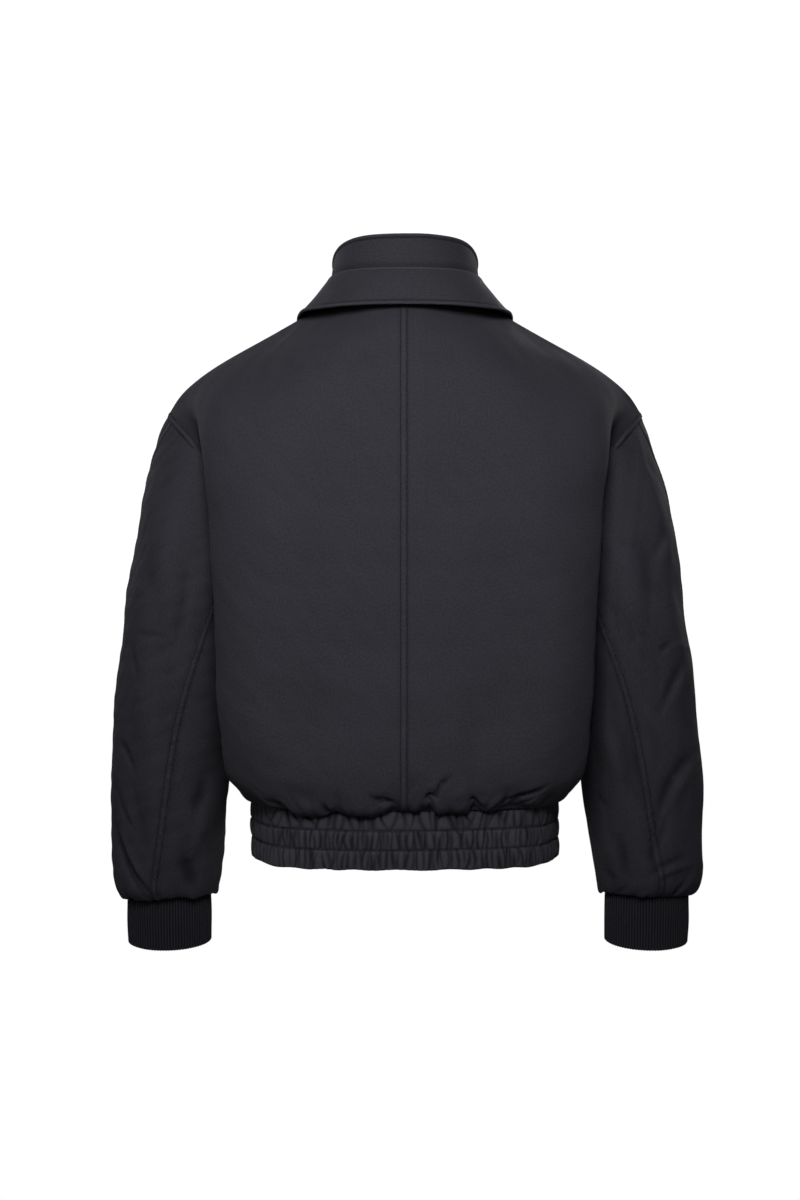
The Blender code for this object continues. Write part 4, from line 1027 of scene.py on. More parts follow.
def surface_tree(*pieces):
    """A search tree over the faces of the pieces."""
    points, faces = [], []
    for piece in pieces:
        start = len(points)
        points.extend(v.co.copy() for v in piece.data.vertices)
        faces.extend([start + i for i in polygon.vertices] for polygon in piece.data.polygons)
    return BVHTree.FromPolygons(points, faces)


def onto_surface(tree, point, out):
    """The place on the cloth under the point, seen from outside."""
    hit = tree.ray_cast(Vector(point + out * RAY_START), Vector(-out), RAY_REACH)[0]
    return np.array(hit) if hit is not None else point


def stitch_points(path, out):
    """Corners and faces of a row of stitches along the path."""
    points, out, _ = spaced(path, out, STITCH_PITCH)
    centre = (points[:-1] + points[1:]) / 2
    out = unit(out[:-1] + out[1:])
    run = unit(points[1:] - points[:-1])
    side = unit(np.cross(run, out))
    tip, sunk = STITCH_TIP
    belly, size = STITCH_RING
    shape = [(-tip, 0.0, sunk)]
    for share in (-belly, belly):
        shape += [(share, size * math.cos(a), size * math.sin(a) * 0.8 + 0.25) for a in np.radians(STITCH_TURNS)]
    shape.append((tip, 0.0, sunk))
    corners = np.stack([centre + run * along * STITCH_LENGTH + side * wide * STITCH_THICK + out * tall * STITCH_THICK
                        for along, wide, tall in shape], axis=1)
    ring = len(STITCH_TURNS)
    pairs = [(1 + k, 1 + (k + 1) % ring) for k in range(ring)]
    faces = [(0, one, two) for one, two in pairs]
    faces += [(one, one + ring, two + ring, two) for one, two in pairs]
    faces += [(2 * ring + 1, two + ring, one + ring) for one, two in pairs]
    return corners, faces


def stitching(name, rows, finish):
    """One object with the stitches of several rows; rows are pairs of a path and its outward vectors."""
    points, faces, uv = [], [], []
    count = 0
    for path, out in rows:
        corners, pattern = stitch_points(path, out)
        for one in corners:
            points.append(one)
            faces.extend([count + i for i in face] for face in pattern)
            uv.append(np.column_stack([one[:, 0] + one[:, 1], one[:, 2]]))
            count += len(one)
    made = finish_mesh(name, np.concatenate(points), faces, np.concatenate(uv), finish)
    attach(made, "jacket")
    return made


def felled_strip(name, path, out, low, high, tree, seed, pucker):
    """A raised strip over a seam, from low to high metres beside the path, and the paths of its two stitch rows."""
    path, out, along = spaced(path, out, STRIP_STEP)
    side = unit(np.cross(out, unit(np.gradient(path, axis=0))))
    offsets = [low + line.inset for line in STRIP_EDGE] + [(low + high) / 2]
    offsets += [high - line.inset for line in STRIP_EDGE[::-1]]
    strip_lines = STRIP_EDGE + (STRIP_CENTRE,) + STRIP_EDGE[::-1]
    draw = np.random.default_rng(seed)
    marks = np.arange(0, along[-1] + 2 * STRIP_PITCH, STRIP_PITCH)
    strong = draw.uniform(0.1, 1.0, len(marks))
    marks = marks + draw.uniform(-0.3, 0.3, len(marks)) * STRIP_PITCH
    grid, rub = [], []
    for k in range(len(path)):
        points, tones = [], []
        for offset, line in zip(offsets, strip_lines):
            place = onto_surface(tree, path[k] + side[k] * offset, out[k])
            at = along[k] + 0.55 * offset
            wave = np.cos(2 * np.pi * np.interp(at, marks, np.arange(len(marks)))) * np.interp(at, marks, strong)
            swell = 1 + pucker * wave if line.lift > 0 else 1
            points.append(place + out[k] * STRIP_LIFT * line.lift * swell)
            # Each line's painted shade or painted highlight, and painted shade in the valleys between the cross
            # puckers.
            tones.append(line.rub - STRIP_PUCKER_SHADE * pucker * max(0.0, -wave) ** 2)
        grid.append(points)
        rub.append(tones)
    grid = np.array(grid)
    inward = -np.repeat(out[:, None], len(offsets), axis=1) * STRIP_WALL
    piece = cloth(name, grid, inward, FINISH["shell_cloth"], np.array(rub), radius=0.0002, step=3)
    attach(piece, "jacket")
    return piece, [(grid[:, 3], out), (grid[:, -4], out)]


# ---------------------------------------------------------------- finishes
def node(tree, kind, settings=None, **inputs):
    """A shader node with its settings and its inputs: a socket is linked and a value is set."""
    made = tree.nodes.new(kind)
    for key, value in (settings or {}).items():
        setattr(made, key, value)
    for key, value in inputs.items():
        label = key.replace("_", " ")
        target = made.inputs[int(key[1:])] if key[0] == "i" and key[1:].isdigit() else made.inputs[label]
        if isinstance(value, bpy.types.NodeSocket):
            tree.links.new(value, target)
        else:
            target.default_value = value
    return made


def rgb(red, green, blue):
    """A colour with its fourth value."""
    return red, green, blue, 1.0


def shader_group(name, inputs, outputs):
    """An empty node group with named inputs and outputs."""
    tree = bpy.data.node_groups.new(name, "ShaderNodeTree")
    for label, kind, value in inputs:
        made = tree.interface.new_socket(name=label, in_out="INPUT", socket_type=kind)
        if value is not None:
            made.default_value = value
    for label, kind in outputs:
        tree.interface.new_socket(name=label, in_out="OUTPUT", socket_type=kind)
    return tree, tree.nodes.new("NodeGroupInput"), tree.nodes.new("NodeGroupOutput")


def math_node(tree, operation, one, two=0.0):
    """Output of a math node."""
    return node(tree, "ShaderNodeMath", {"operation": operation}, i0=one, i1=two).outputs[0]


def blend(tree, share, one, two):
    """The colour between one and two; a share below 0 counts as 0."""
    return node(tree, "ShaderNodeMix", {"data_type": "RGBA", "clamp_factor": True}, i0=share, i6=one, i7=two).outputs[2]


def noise(tree, place, scale, detail, **inputs):
    """Value of a noise texture."""
    return node(tree, "ShaderNodeTexNoise", Vector=place, Scale=scale, Detail=detail, **inputs).outputs["Fac"]


def bumped(tree, strength, distance, height, **inputs):
    """Normal of a bump."""
    return node(tree, "ShaderNodeBump", Strength=strength, Distance=distance, Height=height, **inputs).outputs[0]


def emptied(owner):
    """The node tree of a material or the world, with nothing in it."""
    owner.use_nodes = True
    owner.node_tree.nodes.clear()
    return owner.node_tree


def link_shader(tree, shader, colour, roughness, normal):
    """Colour, roughness and normal linked to a material's shader; None leaves its constant."""
    for label, value in (("Base Color", colour), ("Roughness", roughness), ("Normal", normal)):
        if value is not None:
            tree.links.new(value, shader.inputs[label])


def twill_group():
    """Twill weave: slanting ridges with the threads across them. Place is the flat place in metres."""
    tree, start, stop = shader_group(
        "twill weave",
        [("Place", "NodeSocketVector", None), ("Ridges per metre", "NodeSocketFloat", 1400.0),
         ("Unevenness", "NodeSocketFloat", 0.3)],
        [("Height", "NodeSocketFloat"), ("Shade", "NodeSocketFloat")])
    calc = partial(math_node, tree)
    place = start.outputs["Place"]
    rate = start.outputs["Ridges per metre"]
    drift = noise(tree, place, 260.0, 2.0)
    across_place, up_place, _ = node(tree, "ShaderNodeSeparateXYZ", i0=place).outputs
    turn = calc("MULTIPLY", calc("MULTIPLY", calc("ADD", across_place, up_place), rate), 2 * math.pi)
    wander = calc("MULTIPLY", calc("MULTIPLY", drift, 9.0), start.outputs["Unevenness"])
    ridge = calc("SINE", calc("ADD", turn, wander))
    cross = calc("SINE", calc("MULTIPLY", calc("MULTIPLY", calc("SUBTRACT", across_place, up_place), rate), 12.0))
    height = calc("ADD", calc("MULTIPLY", ridge, 0.35), calc("MULTIPLY", cross, 0.15))
    height = calc("ADD", height, 0.5)
    tree.links.new(height, stop.inputs["Height"])
    tree.links.new(calc("MULTIPLY", height, drift), stop.inputs["Shade"])
    return tree


LINT_COLOUR = rgb(0.11, 0.11, 0.12)
HIGHLIGHT_AND_WEAR_COLOUR = rgb(0.120, 0.117, 0.132)
PAINTED_SHADE_COLOUR = rgb(0.0030, 0.0030, 0.0045)
COOL_SHEEN = rgb(0.8, 0.82, 0.9)


def tone_group():
    """Cloth colour: soft cloudy changes, lighter threads, a little lint, painted shade in folds and hollows, and
    painted highlights on edges and crests with some real wear on rubbed edges.
    """
    tree, start, stop = shader_group(
        "cloth tone",
        [("Place", "NodeSocketVector", None), ("Colour", "NodeSocketColor", rgb(0.03, 0.03, 0.035)),
         ("Lighter", "NodeSocketColor", rgb(0.045, 0.045, 0.05)), ("Weave", "NodeSocketFloat", 0.5),
         ("Cloudiness", "NodeSocketFloat", 0.5), ("Lint", "NodeSocketFloat", 0.2),
         ("Rub", "NodeSocketFloat", 0.0)],
        [("Colour", "NodeSocketColor"), ("Roughness change", "NodeSocketFloat")])
    calc = partial(math_node, tree)
    place = start.outputs["Place"]
    cloud = noise(tree, place, 9.0, 4.0, Roughness=0.55)
    grain = noise(tree, place, 430.0, 4.0, Roughness=0.70)
    soft = calc("MULTIPLY", cloud, start.outputs["Cloudiness"])
    fine = calc("MULTIPLY", calc("SUBTRACT", grain, 0.42), 2.2)
    woven = calc("MULTIPLY", start.outputs["Weave"], 0.35)
    share = calc("ADD", calc("ADD", soft, fine), woven)
    colour = blend(tree, share, start.outputs["Colour"], start.outputs["Lighter"])
    lint = calc("MULTIPLY", calc("GREATER_THAN", noise(tree, place, 420.0, 1.0), 0.735), start.outputs["Lint"])
    colour = blend(tree, lint, colour, LINT_COLOUR)
    # Above 0 the colour goes lighter, a painted highlight with some real wear on rubbed edges; below 0 it goes darker,
    # painted shade.
    colour = blend(tree, start.outputs["Rub"], colour, HIGHLIGHT_AND_WEAR_COLOUR)
    colour = blend(tree, calc("MULTIPLY", start.outputs["Rub"], -1.0), colour, PAINTED_SHADE_COLOUR)
    tree.links.new(colour, stop.inputs["Colour"])
    change = calc("MULTIPLY", calc("SUBTRACT", cloud, 0.5), 0.25)
    tree.links.new(change, stop.inputs["Roughness change"])
    return tree


def crinkle_group():
    """Very small soft crinkles of washed cloth, between the creases that are modelled."""
    tree, start, stop = shader_group(
        "cloth crinkle",
        [("Place", "NodeSocketVector", None), ("Size", "NodeSocketFloat", 60.0)],
        [("Height", "NodeSocketFloat")])
    height = noise(tree, start.outputs["Place"], start.outputs["Size"], 3.0, Distortion=0.6)
    tree.links.new(height, stop.inputs["Height"])
    return tree


def material_start(name, roughness, sheen, sheen_roughness, tint, specular=0.10):
    """A material with its shader, the flat place of the cloth and its tone shift: painted shade and painted highlights,
    with some real wear.
    """
    made = bpy.data.materials.new(name)
    tree = emptied(made)
    shader = node(tree, "ShaderNodeBsdfPrincipled", Roughness=roughness, Specular_IOR_Level=specular,
                  Sheen_Weight=sheen, Sheen_Roughness=sheen_roughness, Sheen_Tint=tint)
    node(tree, "ShaderNodeOutputMaterial", Surface=shader.outputs[0])
    place = node(tree, "ShaderNodeUVMap", {"uv_map": "flat"}).outputs[0]
    # Painted shade and painted highlights, with some real wear, read from the mesh.
    rub = node(tree, "ShaderNodeAttribute", {"attribute_name": "rub"}).outputs["Fac"]
    return made, tree, shader, place, rub


def group_node(tree, group, **inputs):
    """A node group placed in a material."""
    return node(tree, "ShaderNodeGroup", {"node_tree": group}, **inputs)


def woven_cloth(name, colour, lighter, roughness, sheen, ridges, lint, relief):
    """A twill cloth: its tone, its weave and its small crinkles."""
    made, tree, shader, place, rub = material_start(name, roughness, sheen, 0.45, COOL_SHEEN)
    weave = group_node(tree, GROUPS["twill"], Place=place, Ridges_per_metre=ridges, Unevenness=0.5)
    tone = group_node(tree, GROUPS["tone"], Place=place, Colour=rgb(*colour), Lighter=rgb(*lighter),
                      Weave=weave.outputs["Shade"], Cloudiness=0.45, Lint=lint, Rub=rub)
    crinkle = group_node(tree, GROUPS["crinkle"], Place=place, Size=70.0)
    soft = bumped(tree, 0.5, relief, crinkle.outputs["Height"])
    link_shader(tree, shader, tone.outputs["Colour"],
                math_node(tree, "ADD", tone.outputs["Roughness change"], roughness),
                bumped(tree, 0.6, 0.00012, weave.outputs["Height"], Normal=soft))
    return made


LOOP_HEIGHT = 0.0013        # of the rib knit
LOOP_WIDTH = 0.0015


def knitted_rib(name):
    """Knitted rib: rows of small loops on each rib, matt and nearly black."""
    made, tree, shader, place, rub = material_start(name, 0.92, 0.04, 0.6, rgb(0.7, 0.72, 0.8), 0.08)
    calc = partial(math_node, tree)
    across_place, up_place, _ = node(tree, "ShaderNodeSeparateXYZ", i0=place).outputs
    loops = calc("SINE", calc("MULTIPLY", up_place, 2 * math.pi / LOOP_HEIGHT))
    legs = calc("SINE", calc("MULTIPLY", across_place, 2 * math.pi / LOOP_WIDTH))
    knit = calc("ADD", calc("ADD", calc("MULTIPLY", loops, 0.3), calc("MULTIPLY", legs, 0.2)), 0.5)
    tone = group_node(tree, GROUPS["tone"], Place=place, Colour=rgb(0.0070, 0.0069, 0.0095),
                      Lighter=rgb(0.0230, 0.0226, 0.0300), Weave=knit, Cloudiness=0.4, Lint=0.12, Rub=rub)
    link_shader(tree, shader, tone.outputs["Colour"], calc("ADD", tone.outputs["Roughness change"], 0.88),
                bumped(tree, 0.8, 0.00025, knit))
    return made


def thread_finish(name):
    """Sewing thread: darker than the cloth, with its twist."""
    made, tree, shader, place, _ = material_start(name, 0.6, 0.2, 0.5, COOL_SHEEN)
    twist = group_node(tree, GROUPS["twill"], Place=place, Ridges_per_metre=3000.0, Unevenness=0.2)
    tone = group_node(tree, GROUPS["tone"], Place=place, Colour=rgb(0.0050, 0.0050, 0.0070),
                      Lighter=rgb(0.0120, 0.0120, 0.0160), Weave=twist.outputs["Shade"], Cloudiness=0.3, Lint=0.0)
    link_shader(tree, shader, tone.outputs["Colour"], None, bumped(tree, 0.5, 0.0001, twist.outputs["Height"]))
    return made


def worn_metal(name):
    """Dark plated metal of the zip: slightly brushed, brighter where it is rubbed."""
    made = bpy.data.materials.new(name)
    tree = emptied(made)
    shader = node(tree, "ShaderNodeBsdfPrincipled", Metallic=1.0, Roughness=0.35)
    node(tree, "ShaderNodeOutputMaterial", Surface=shader.outputs[0])
    place = node(tree, "ShaderNodeTexCoord").outputs["Object"]
    rub = noise(tree, place, 420.0, 3.0)
    link_shader(tree, shader, blend(tree, rub, rgb(0.045, 0.045, 0.05), rgb(0.11, 0.11, 0.12)),
                math_node(tree, "ADD", math_node(tree, "MULTIPLY", rub, 0.3), 0.22),
                bumped(tree, 0.25, 0.00004, noise(tree, place, 2600.0, 1.0)))
    return made


GROUPS = {"twill": twill_group(), "tone": tone_group(), "crinkle": crinkle_group()}
# name, colour, lighter threads, roughness, sheen, ridges per metre, lint, height of the crinkles
WOVEN = {
    "shell_cloth": ("shell twill", (0.0200, 0.0194, 0.0246), (0.0400, 0.0388, 0.0484), 0.80, 0.03, 1500.0, 0.10,
                    0.0006),
    "band_cloth": ("waistband twill", (0.0200, 0.0195, 0.0245), (0.0400, 0.0388, 0.0480), 0.74, 0.06, 1500.0, 0.08,
                   0.0003),
    "collar_cloth": ("collar twill", (0.0205, 0.0202, 0.0250), (0.0400, 0.0393, 0.0478), 0.76, 0.05, 1500.0, 0.08,
                     0.0004),
    "zip_tape": ("zip tape weave", (0.0080, 0.0080, 0.0100), (0.0180, 0.0180, 0.0210), 0.8, 0.1, 900.0, 0.02, 0.0001),
}
FINISH = {key: woven_cloth(*row) for key, row in WOVEN.items()}
FINISH["rib_knit"] = knitted_rib("rib knit")
FINISH["thread"] = thread_finish("sewing thread")
FINISH["zip_metal"] = worn_metal("dark plated metal")


# ---------------------------------------------------------------- body
WAIST_HOLD = 7              # rows from the waist seam over which the cloth is still held by the seam
FOLD_ROWS = (1, 3, 26)      # the lower fold starts, is full, and has faded out at these rows
STRIP_MIDDLE = 0.0015       # the felled seam of the back lies this far to the wearer's left
STRIP_HALF_WIDTH = 0.0046
ARMHOLE_STRIP = (0.0002, 0.0070)        # how far the armhole's strip lies from its seam
FRONT_STITCH = 0.0065       # stitching of the front edge, from the edge
SCYE_CALM = 0.014           # creases fade out over this distance from the armhole seam
NECK_CALM = 0.010           # and over this distance from the neck and shoulder seams
EDGE_CALM = (0.012, 0.020)  # and from here over this distance beside the front edge
MIRRORED_DROP = 6           # millimetres by which the front's creases lie lower than the back's

# The fold that the back makes beside the sleeve: its heights, and each side's strength and first column of painted
# shade.
FOLD_LOW_Z = -0.36
FOLD_TOP_Z = -0.115
SideFold = namedtuple("SideFold", "strength dark_from")
SIDE_FOLDS = {1: SideFold(1.0, 2), -1: SideFold(1.35, -5)}


def lobe_rise(x, table):
    """Rise of the body's lower fold at x as seen."""
    lobes = np.array(table) * MILLIMETRE
    return smooth_curve(lobes[:, 0], lobes[:, 1:], x.ravel())[:, 0].reshape(x.shape)


def side_fold(grid, side):
    """Relief of the fold that the back makes beside the sleeve, and painted shade on the sleeve's side of it."""
    columns = np.arange(grid.shape[1])[None] - sum(BACK_COLUMNS[:3])
    own = SIDE_FOLDS[side]
    height = soft_step((grid[..., 2] - FOLD_LOW_Z) / 0.08) * soft_step((FOLD_TOP_Z - grid[..., 2]) / 0.035)
    height = height * own.strength
    relief = 0.0022 * height * bell(columns, -1, 6.0) - 0.0042 * height * bell(columns, 17, 8.0)
    # The second value is painted shade between the fold and the armhole seam.
    return relief, 0.40 * height * soft_step((columns - own.dark_from) / 8.0)


def body_relief(grid, out, is_back, seed):
    """The panel with its creases, gathers, lobes and seam puckers, and its tone shift: painted shade in its folds, a
    little over the rows by the waist seam, beside the sleeve and beside the centre seam.
    """
    seen = as_seen(grid, is_back)
    up = lengths_up(grid)
    around = lengths_across(grid)
    side = np.sign(grid[:, -1, 0].mean())
    rows = np.arange(len(grid))[:, None] * np.ones(grid.shape[1])
    if is_back:
        relief = crease_relief(seen, out[..., 1], CREASES["body"])
    else:
        relief = crease_relief(seen, -out[..., 1], mirrored_creases(CREASES["body"], MIRRORED_DROP))
        relief *= soft_step((np.abs(grid[..., 0]) - EDGE_CALM[0]) / EDGE_CALM[1])
    for number, waves in enumerate(BODY_WAVES):
        relief += unevenness(grid, waves.lengths, waves.height, 11 + number)
    girth = around[WAIST_HOLD].max()
    flat_around = around / np.maximum(around[:, -1:], 1e-6) * girth
    high = np.maximum(up - up[WAIST_HOLD], 0)
    relief += gathers(flat_around, high, girth, 0.010, 0.022, 0.0022, seed, False)
    shade = 0.0
    if is_back:
        away = np.abs(around - side * STRIP_MIDDLE)
        relief += seam_relief(away, up, CENTRE_SEAM, 7)
        fold, shade = side_fold(grid, side)
        relief += fold
    relief *= soft_step(rows / WAIST_HOLD)
    underarm = sum(ROWS_BELOW)
    calm = soft_step((around[:, -1:] - around) / SCYE_CALM)
    relief *= np.where(rows >= underarm, calm, 1 - (1 - calm) * soft_step((rows - underarm + 10) / 10))
    relief *= soft_step((up[-1] - up) / NECK_CALM)
    rise = lobe_rise(seen[..., 0], BACK_LOBES) * soft_step(0.5 + grid[..., 1] / 0.05)
    rise += lobe_rise(seen[..., 0], FRONT_LOBES) * soft_step(0.5 - grid[..., 1] / 0.05)
    first, full, last = FOLD_ROWS
    rise *= soft_step((rows - first) / (full - first)) * soft_step((last - rows) / (last - full - 4))
    moved = grid + out * relief[..., None]
    moved[..., 2] += rise
    # Painted shade: in the folds, a little over the rows by the waist seam where the body hangs over the band, and
    # beside the sleeve.
    rub = painted_fold_shade(relief, most=0.40) - 0.04 * soft_step((full + 1 - rows) / 3) - shade
    if is_back:
        rub += seam_painted_shade(away, CENTRE_SEAM)
    return moved, rub


def make_body():
    """Back and front panels with the felled seam of the back. Returns what the other pieces are sewn to."""
    back, front = body_skins()
    back_out = -grid_normals(back)
    front_out = grid_normals(front)
    back_out[:, 0, 0] = 0.0
    front_out[:, 0, 0] = 0.0
    underarm = sum(ROWS_BELOW)
    side = unit(back_out[:underarm + 1, -1] + front_out[:underarm + 1, -1])
    back_out[:underarm + 1, -1] = side
    front_out[:underarm + 1, -1] = side
    seam = sum(BACK_COLUMNS[1:]) + 1
    shoulder = unit(back_out[-1, -seam:] + front_out[-1, -seam:])
    back_out[-1, -seam:] = shoulder
    front_out[-1, -seam:] = shoulder

    back_scye = back[underarm:, -1][::-1]
    front_scye = front[underarm:, -1]
    scye = np.concatenate([back_scye, front_scye[1:-1]])
    sleeve, outer_column, elbow_column = sleeve_skin(scye)
    sleeve_out = -grid_normals(sleeve, closed=True)
    body_out = np.concatenate([back_out[underarm:, -1][::-1], front_out[underarm:, -1][1:-1]])
    passage = unit(scye.mean(axis=0) - scye)
    seam_in = unit(passage - 0.5 * (body_out + sleeve_out[0, :-1]))
    seam_run = np.roll(scye, -1, axis=0) - np.roll(scye, 1, axis=0)
    away = unit(np.cross(seam_in, seam_run))
    sleeve[0, :-1] += away * ARMHOLE_GAP
    sleeve[0, -1] = sleeve[0, 0]

    back_in = -back_out * PANEL_WALL
    front_in = -front_out * PANEL_WALL
    steps = len(back_scye)
    back_in[underarm:, -1] = seam_in[:steps][::-1] * PANEL_WALL
    ring_in = np.concatenate([seam_in, seam_in[:1]])
    front_in[underarm:, -1] = ring_in[steps - 1:] * PANEL_WALL
    for skin, inward in ((back, back_in), (front, front_in)):
        lean = unit(skin[0] * (-1, -1, 0)) + (0.0, 0.0, 1.0)
        inward[0] = unit(lean) * PANEL_WALL
    sleeve_in = -sleeve_out * PANEL_WALL
    sleeve_in[0] = ring_in * PANEL_WALL
    wrist = unit(sleeve[-1].mean(axis=0) - sleeve[-1])
    sleeve_in[-1] = unit(wrist + (0.0, 0.0, 1.0)) * PANEL_WALL

    made = {}
    for number, (side_name, turned) in enumerate(SIDES):
        for place, (skin, out, inward) in {"back": (back, back_out, back_in),
                                           "front": (front, front_out, front_in)}.items():
            smooth = turned(skin)
            shaped, rub = body_relief(smooth, turned(out), place == "back", 31 + number * 2 + (place == "front"))
            name = "%s_%s" % (place, side_name)
            piece = cloth(name + "_cloth", shaped, turned(inward), FINISH["shell_cloth"], rub)
            made[name] = (piece, shaped, turned(out), smooth)
    strips = {}
    rows = {"back": [], "front": []}
    lowest = FOLD_ROWS[0] + 2
    tree = surface_tree(made["back_left"][0], made["back_right"][0])
    _, path, out, _ = made["back_left"]
    strip, lines = felled_strip("seam_centre_back", path[lowest:, 0], out[lowest:, 0], STRIP_MIDDLE - STRIP_HALF_WIDTH,
                                STRIP_MIDDLE + STRIP_HALF_WIDTH, tree, 3, 0.25)
    strips["back_left"] = [strip]
    rows["back"] += lines
    for side_name in ("left", "right"):
        back_piece, back_grid, back_normal, _ = made["back_" + side_name]
        front_piece, front_grid, front_normal, _ = made["front_" + side_name]
        tree = surface_tree(back_piece, front_piece)
        path = np.concatenate([back_grid[underarm:, -2], front_grid[underarm:, -2][::-1][1:]])
        out = np.concatenate([back_normal[underarm:, -2], front_normal[underarm:, -2][::-1][1:]])
        low, high = ARMHOLE_STRIP if side_name == "left" else (-ARMHOLE_STRIP[1], -ARMHOLE_STRIP[0])
        strip, lines = felled_strip("seam_armhole_" + side_name, path, out, low, high, tree, 5, 0.2)
        strips.setdefault("front_" + side_name, []).append(strip)
        rows["back"] += lines
        column = int(np.argmin(np.abs(lengths_across(front_grid)[underarm] - FRONT_STITCH)))
        rows["front"].append((front_grid[lowest:-1, column], front_normal[lowest:-1, column]))
    stitches = {"back": stitching("stitching_back", rows["back"], FINISH["thread"]),
                "front": stitching("stitching_front", rows["front"], FINISH["thread"])}
    for name, (piece, _, _, smooth) in made.items():
        pieces = strips.get(name, [])
        if name in ("back_left", "front_left"):
            pieces = pieces + [stitches[name[:-5]]]
        declare(piece, smooth, name)
    return back, front, front_out, sleeve, sleeve_in, outer_column, elbow_column


# ---------------------------------------------------------------- sleeves and cuffs
SLEEVE_CALM_TOP = 0.014     # creases fade out over this distance from the armhole seam
WRIST_HOLD = 5              # rows over which the sleeve is held by the cuff seam
SLEEVE_STRIP_HALF_WIDTH = 0.0045
SLEEVE_MIRRORED_DROP = -14  # millimetres by which the creases of the sleeve's front lie lower than the other back's
SWAY_ROW = 12               # the sway of the sleeve's lower edge follows this row, counted from the cuff
SWAY_WAVES = (0.03, 0.045, 0.06)
SWAY = 0.0016
RAISED = 0.0085             # the right sleeve's lower edge rises this much on its outer side
RAISED_FROM = 0.20          # from this far out, over this distance
RAISED_OVER = 0.13
RIBS = 82
RIB_STEPS = 6
RIB_DEPTH = 0.0015
RIB_DRIFT = 0.010           # unevenness of the ribs' lines
CUFF_EDGE = 0.0006          # the cuff's wall without its ribs is this much thinner


def sleeve_relief(grid, out, side, outer_column, elbow_column, seed):
    """The sleeve with its creases, its gathers above the cuff and the puckers of its seams, and its tone shift: painted
    shade in its folds and beside its seams, and darker over its last rows at the cuff seam.
    """
    other = "right" if side == "left" else "left"
    relief = crease_relief(as_seen(grid, True), out[..., 1], CREASES["sleeve_" + side])
    relief += crease_relief(as_seen(grid, False), -out[..., 1],
                            mirrored_creases(CREASES["sleeve_" + other], SLEEVE_MIRRORED_DROP))
    for number, waves in enumerate(SLEEVE_WAVES):
        relief += unevenness(grid, waves.lengths, waves.height, seed + number)
    up = lengths_up(grid)
    around = lengths_across(grid)
    girth = around[-WRIST_HOLD].max()
    high = np.maximum(up[-WRIST_HOLD] - up, 0)
    relief += gathers(around / around[:, -1:] * girth, high, girth, 0.013, 0.026, 0.0021, seed + 2, True)
    seams = [(column, np.abs(around - around[:, column:column + 1]), seam)
             for column, seam in ((outer_column, OUTER_SEAM), (elbow_column, ELBOW_SEAM))]
    for column, away, seam in seams:
        relief += seam_relief(away, up, seam, seed + 3 + column)
    from_cuff = len(grid) - 1 - np.arange(len(grid))[:, None]
    relief = relief * soft_step(from_cuff / WRIST_HOLD) * soft_step(up / SLEEVE_CALM_TOP)
    sway = SWAY * unevenness(grid[-SWAY_ROW:1 - SWAY_ROW].repeat(len(grid), axis=0), SWAY_WAVES, 1.0, seed + 9)
    if side == "right":
        sway = sway + RAISED * np.clip((-RAISED_FROM - grid[..., 0]) / RAISED_OVER, 0, 1) ** 1.6
    moved = grid + out * relief[..., None]
    moved[..., 2] += sway * soft_step(from_cuff / 6) * soft_step((33 - from_cuff) / 16)
    moved[:, -1] = moved[:, 0]
    # Painted shade in the folds, darker over the last rows at the cuff seam, and painted shade beside each felled seam
    # below.
    rub = painted_fold_shade(relief, most=0.55) - 0.15 * soft_step((6 - from_cuff) / 4)
    for _, away, seam in seams:
        rub += seam_painted_shade(away, seam)
    return moved, rub


def make_cuff(placed, side_name, turned):
    """A knitted cuff with its ribs."""
    skin = cuff_skin(placed[-1], side_name, ROWS_CUFF)
    along = chord_knots(skin[0])
    count = RIBS * RIB_STEPS
    places = np.interp(np.linspace(0, along[-1], count + 1), along, np.arange(len(along)))
    smooth = np.array([read_along(line, np.arange(len(line)), places) for line in skin])
    out = -grid_normals(smooth, closed=True)
    phase = 2 * np.pi * np.arange(count + 1) * RIBS / count
    rows = np.arange(len(smooth))[:, None] / (len(smooth) - 1)
    draw = np.random.default_rng(71 if side_name == "left" else 72)
    drift = np.cumsum(draw.normal(size=RIBS)) * RIB_DRIFT
    drift -= np.linspace(0, drift[-1], RIBS)
    lean = np.interp(np.arange(count + 1) / RIB_STEPS, np.arange(RIBS), drift)
    wave = np.cos(phase[None] + lean[None] * np.sin(np.pi * rows) * 2)
    rib = np.sqrt((1 + wave) / 2)
    # Painted shade in the valleys between the ribs, a painted highlight on their crests, and darker towards the top at
    # the sleeve seam.
    rub = 0.10 - 0.95 * (1 - rib) ** 1.3 - 0.5 * soft_step((0.10 - rows) / 0.10)
    relief = RIB_DEPTH * (rib - 1) + 0.0006 * np.sin(np.pi * rows) + unevenness(smooth, (0.03, 0.045, 0.06), 0.0005, 73)
    shaped = smooth + out * relief[..., None]
    shaped[:, -1] = shaped[:, 0]
    piece = cloth("cuff_%s_cloth" % side_name, turned(shaped), turned(-out * (CUFF_WALL - CUFF_EDGE)),
                  FINISH["rib_knit"], rub, closed=True, radius=0.0009)
    declare(piece, turned(smooth), "cuff_" + side_name)


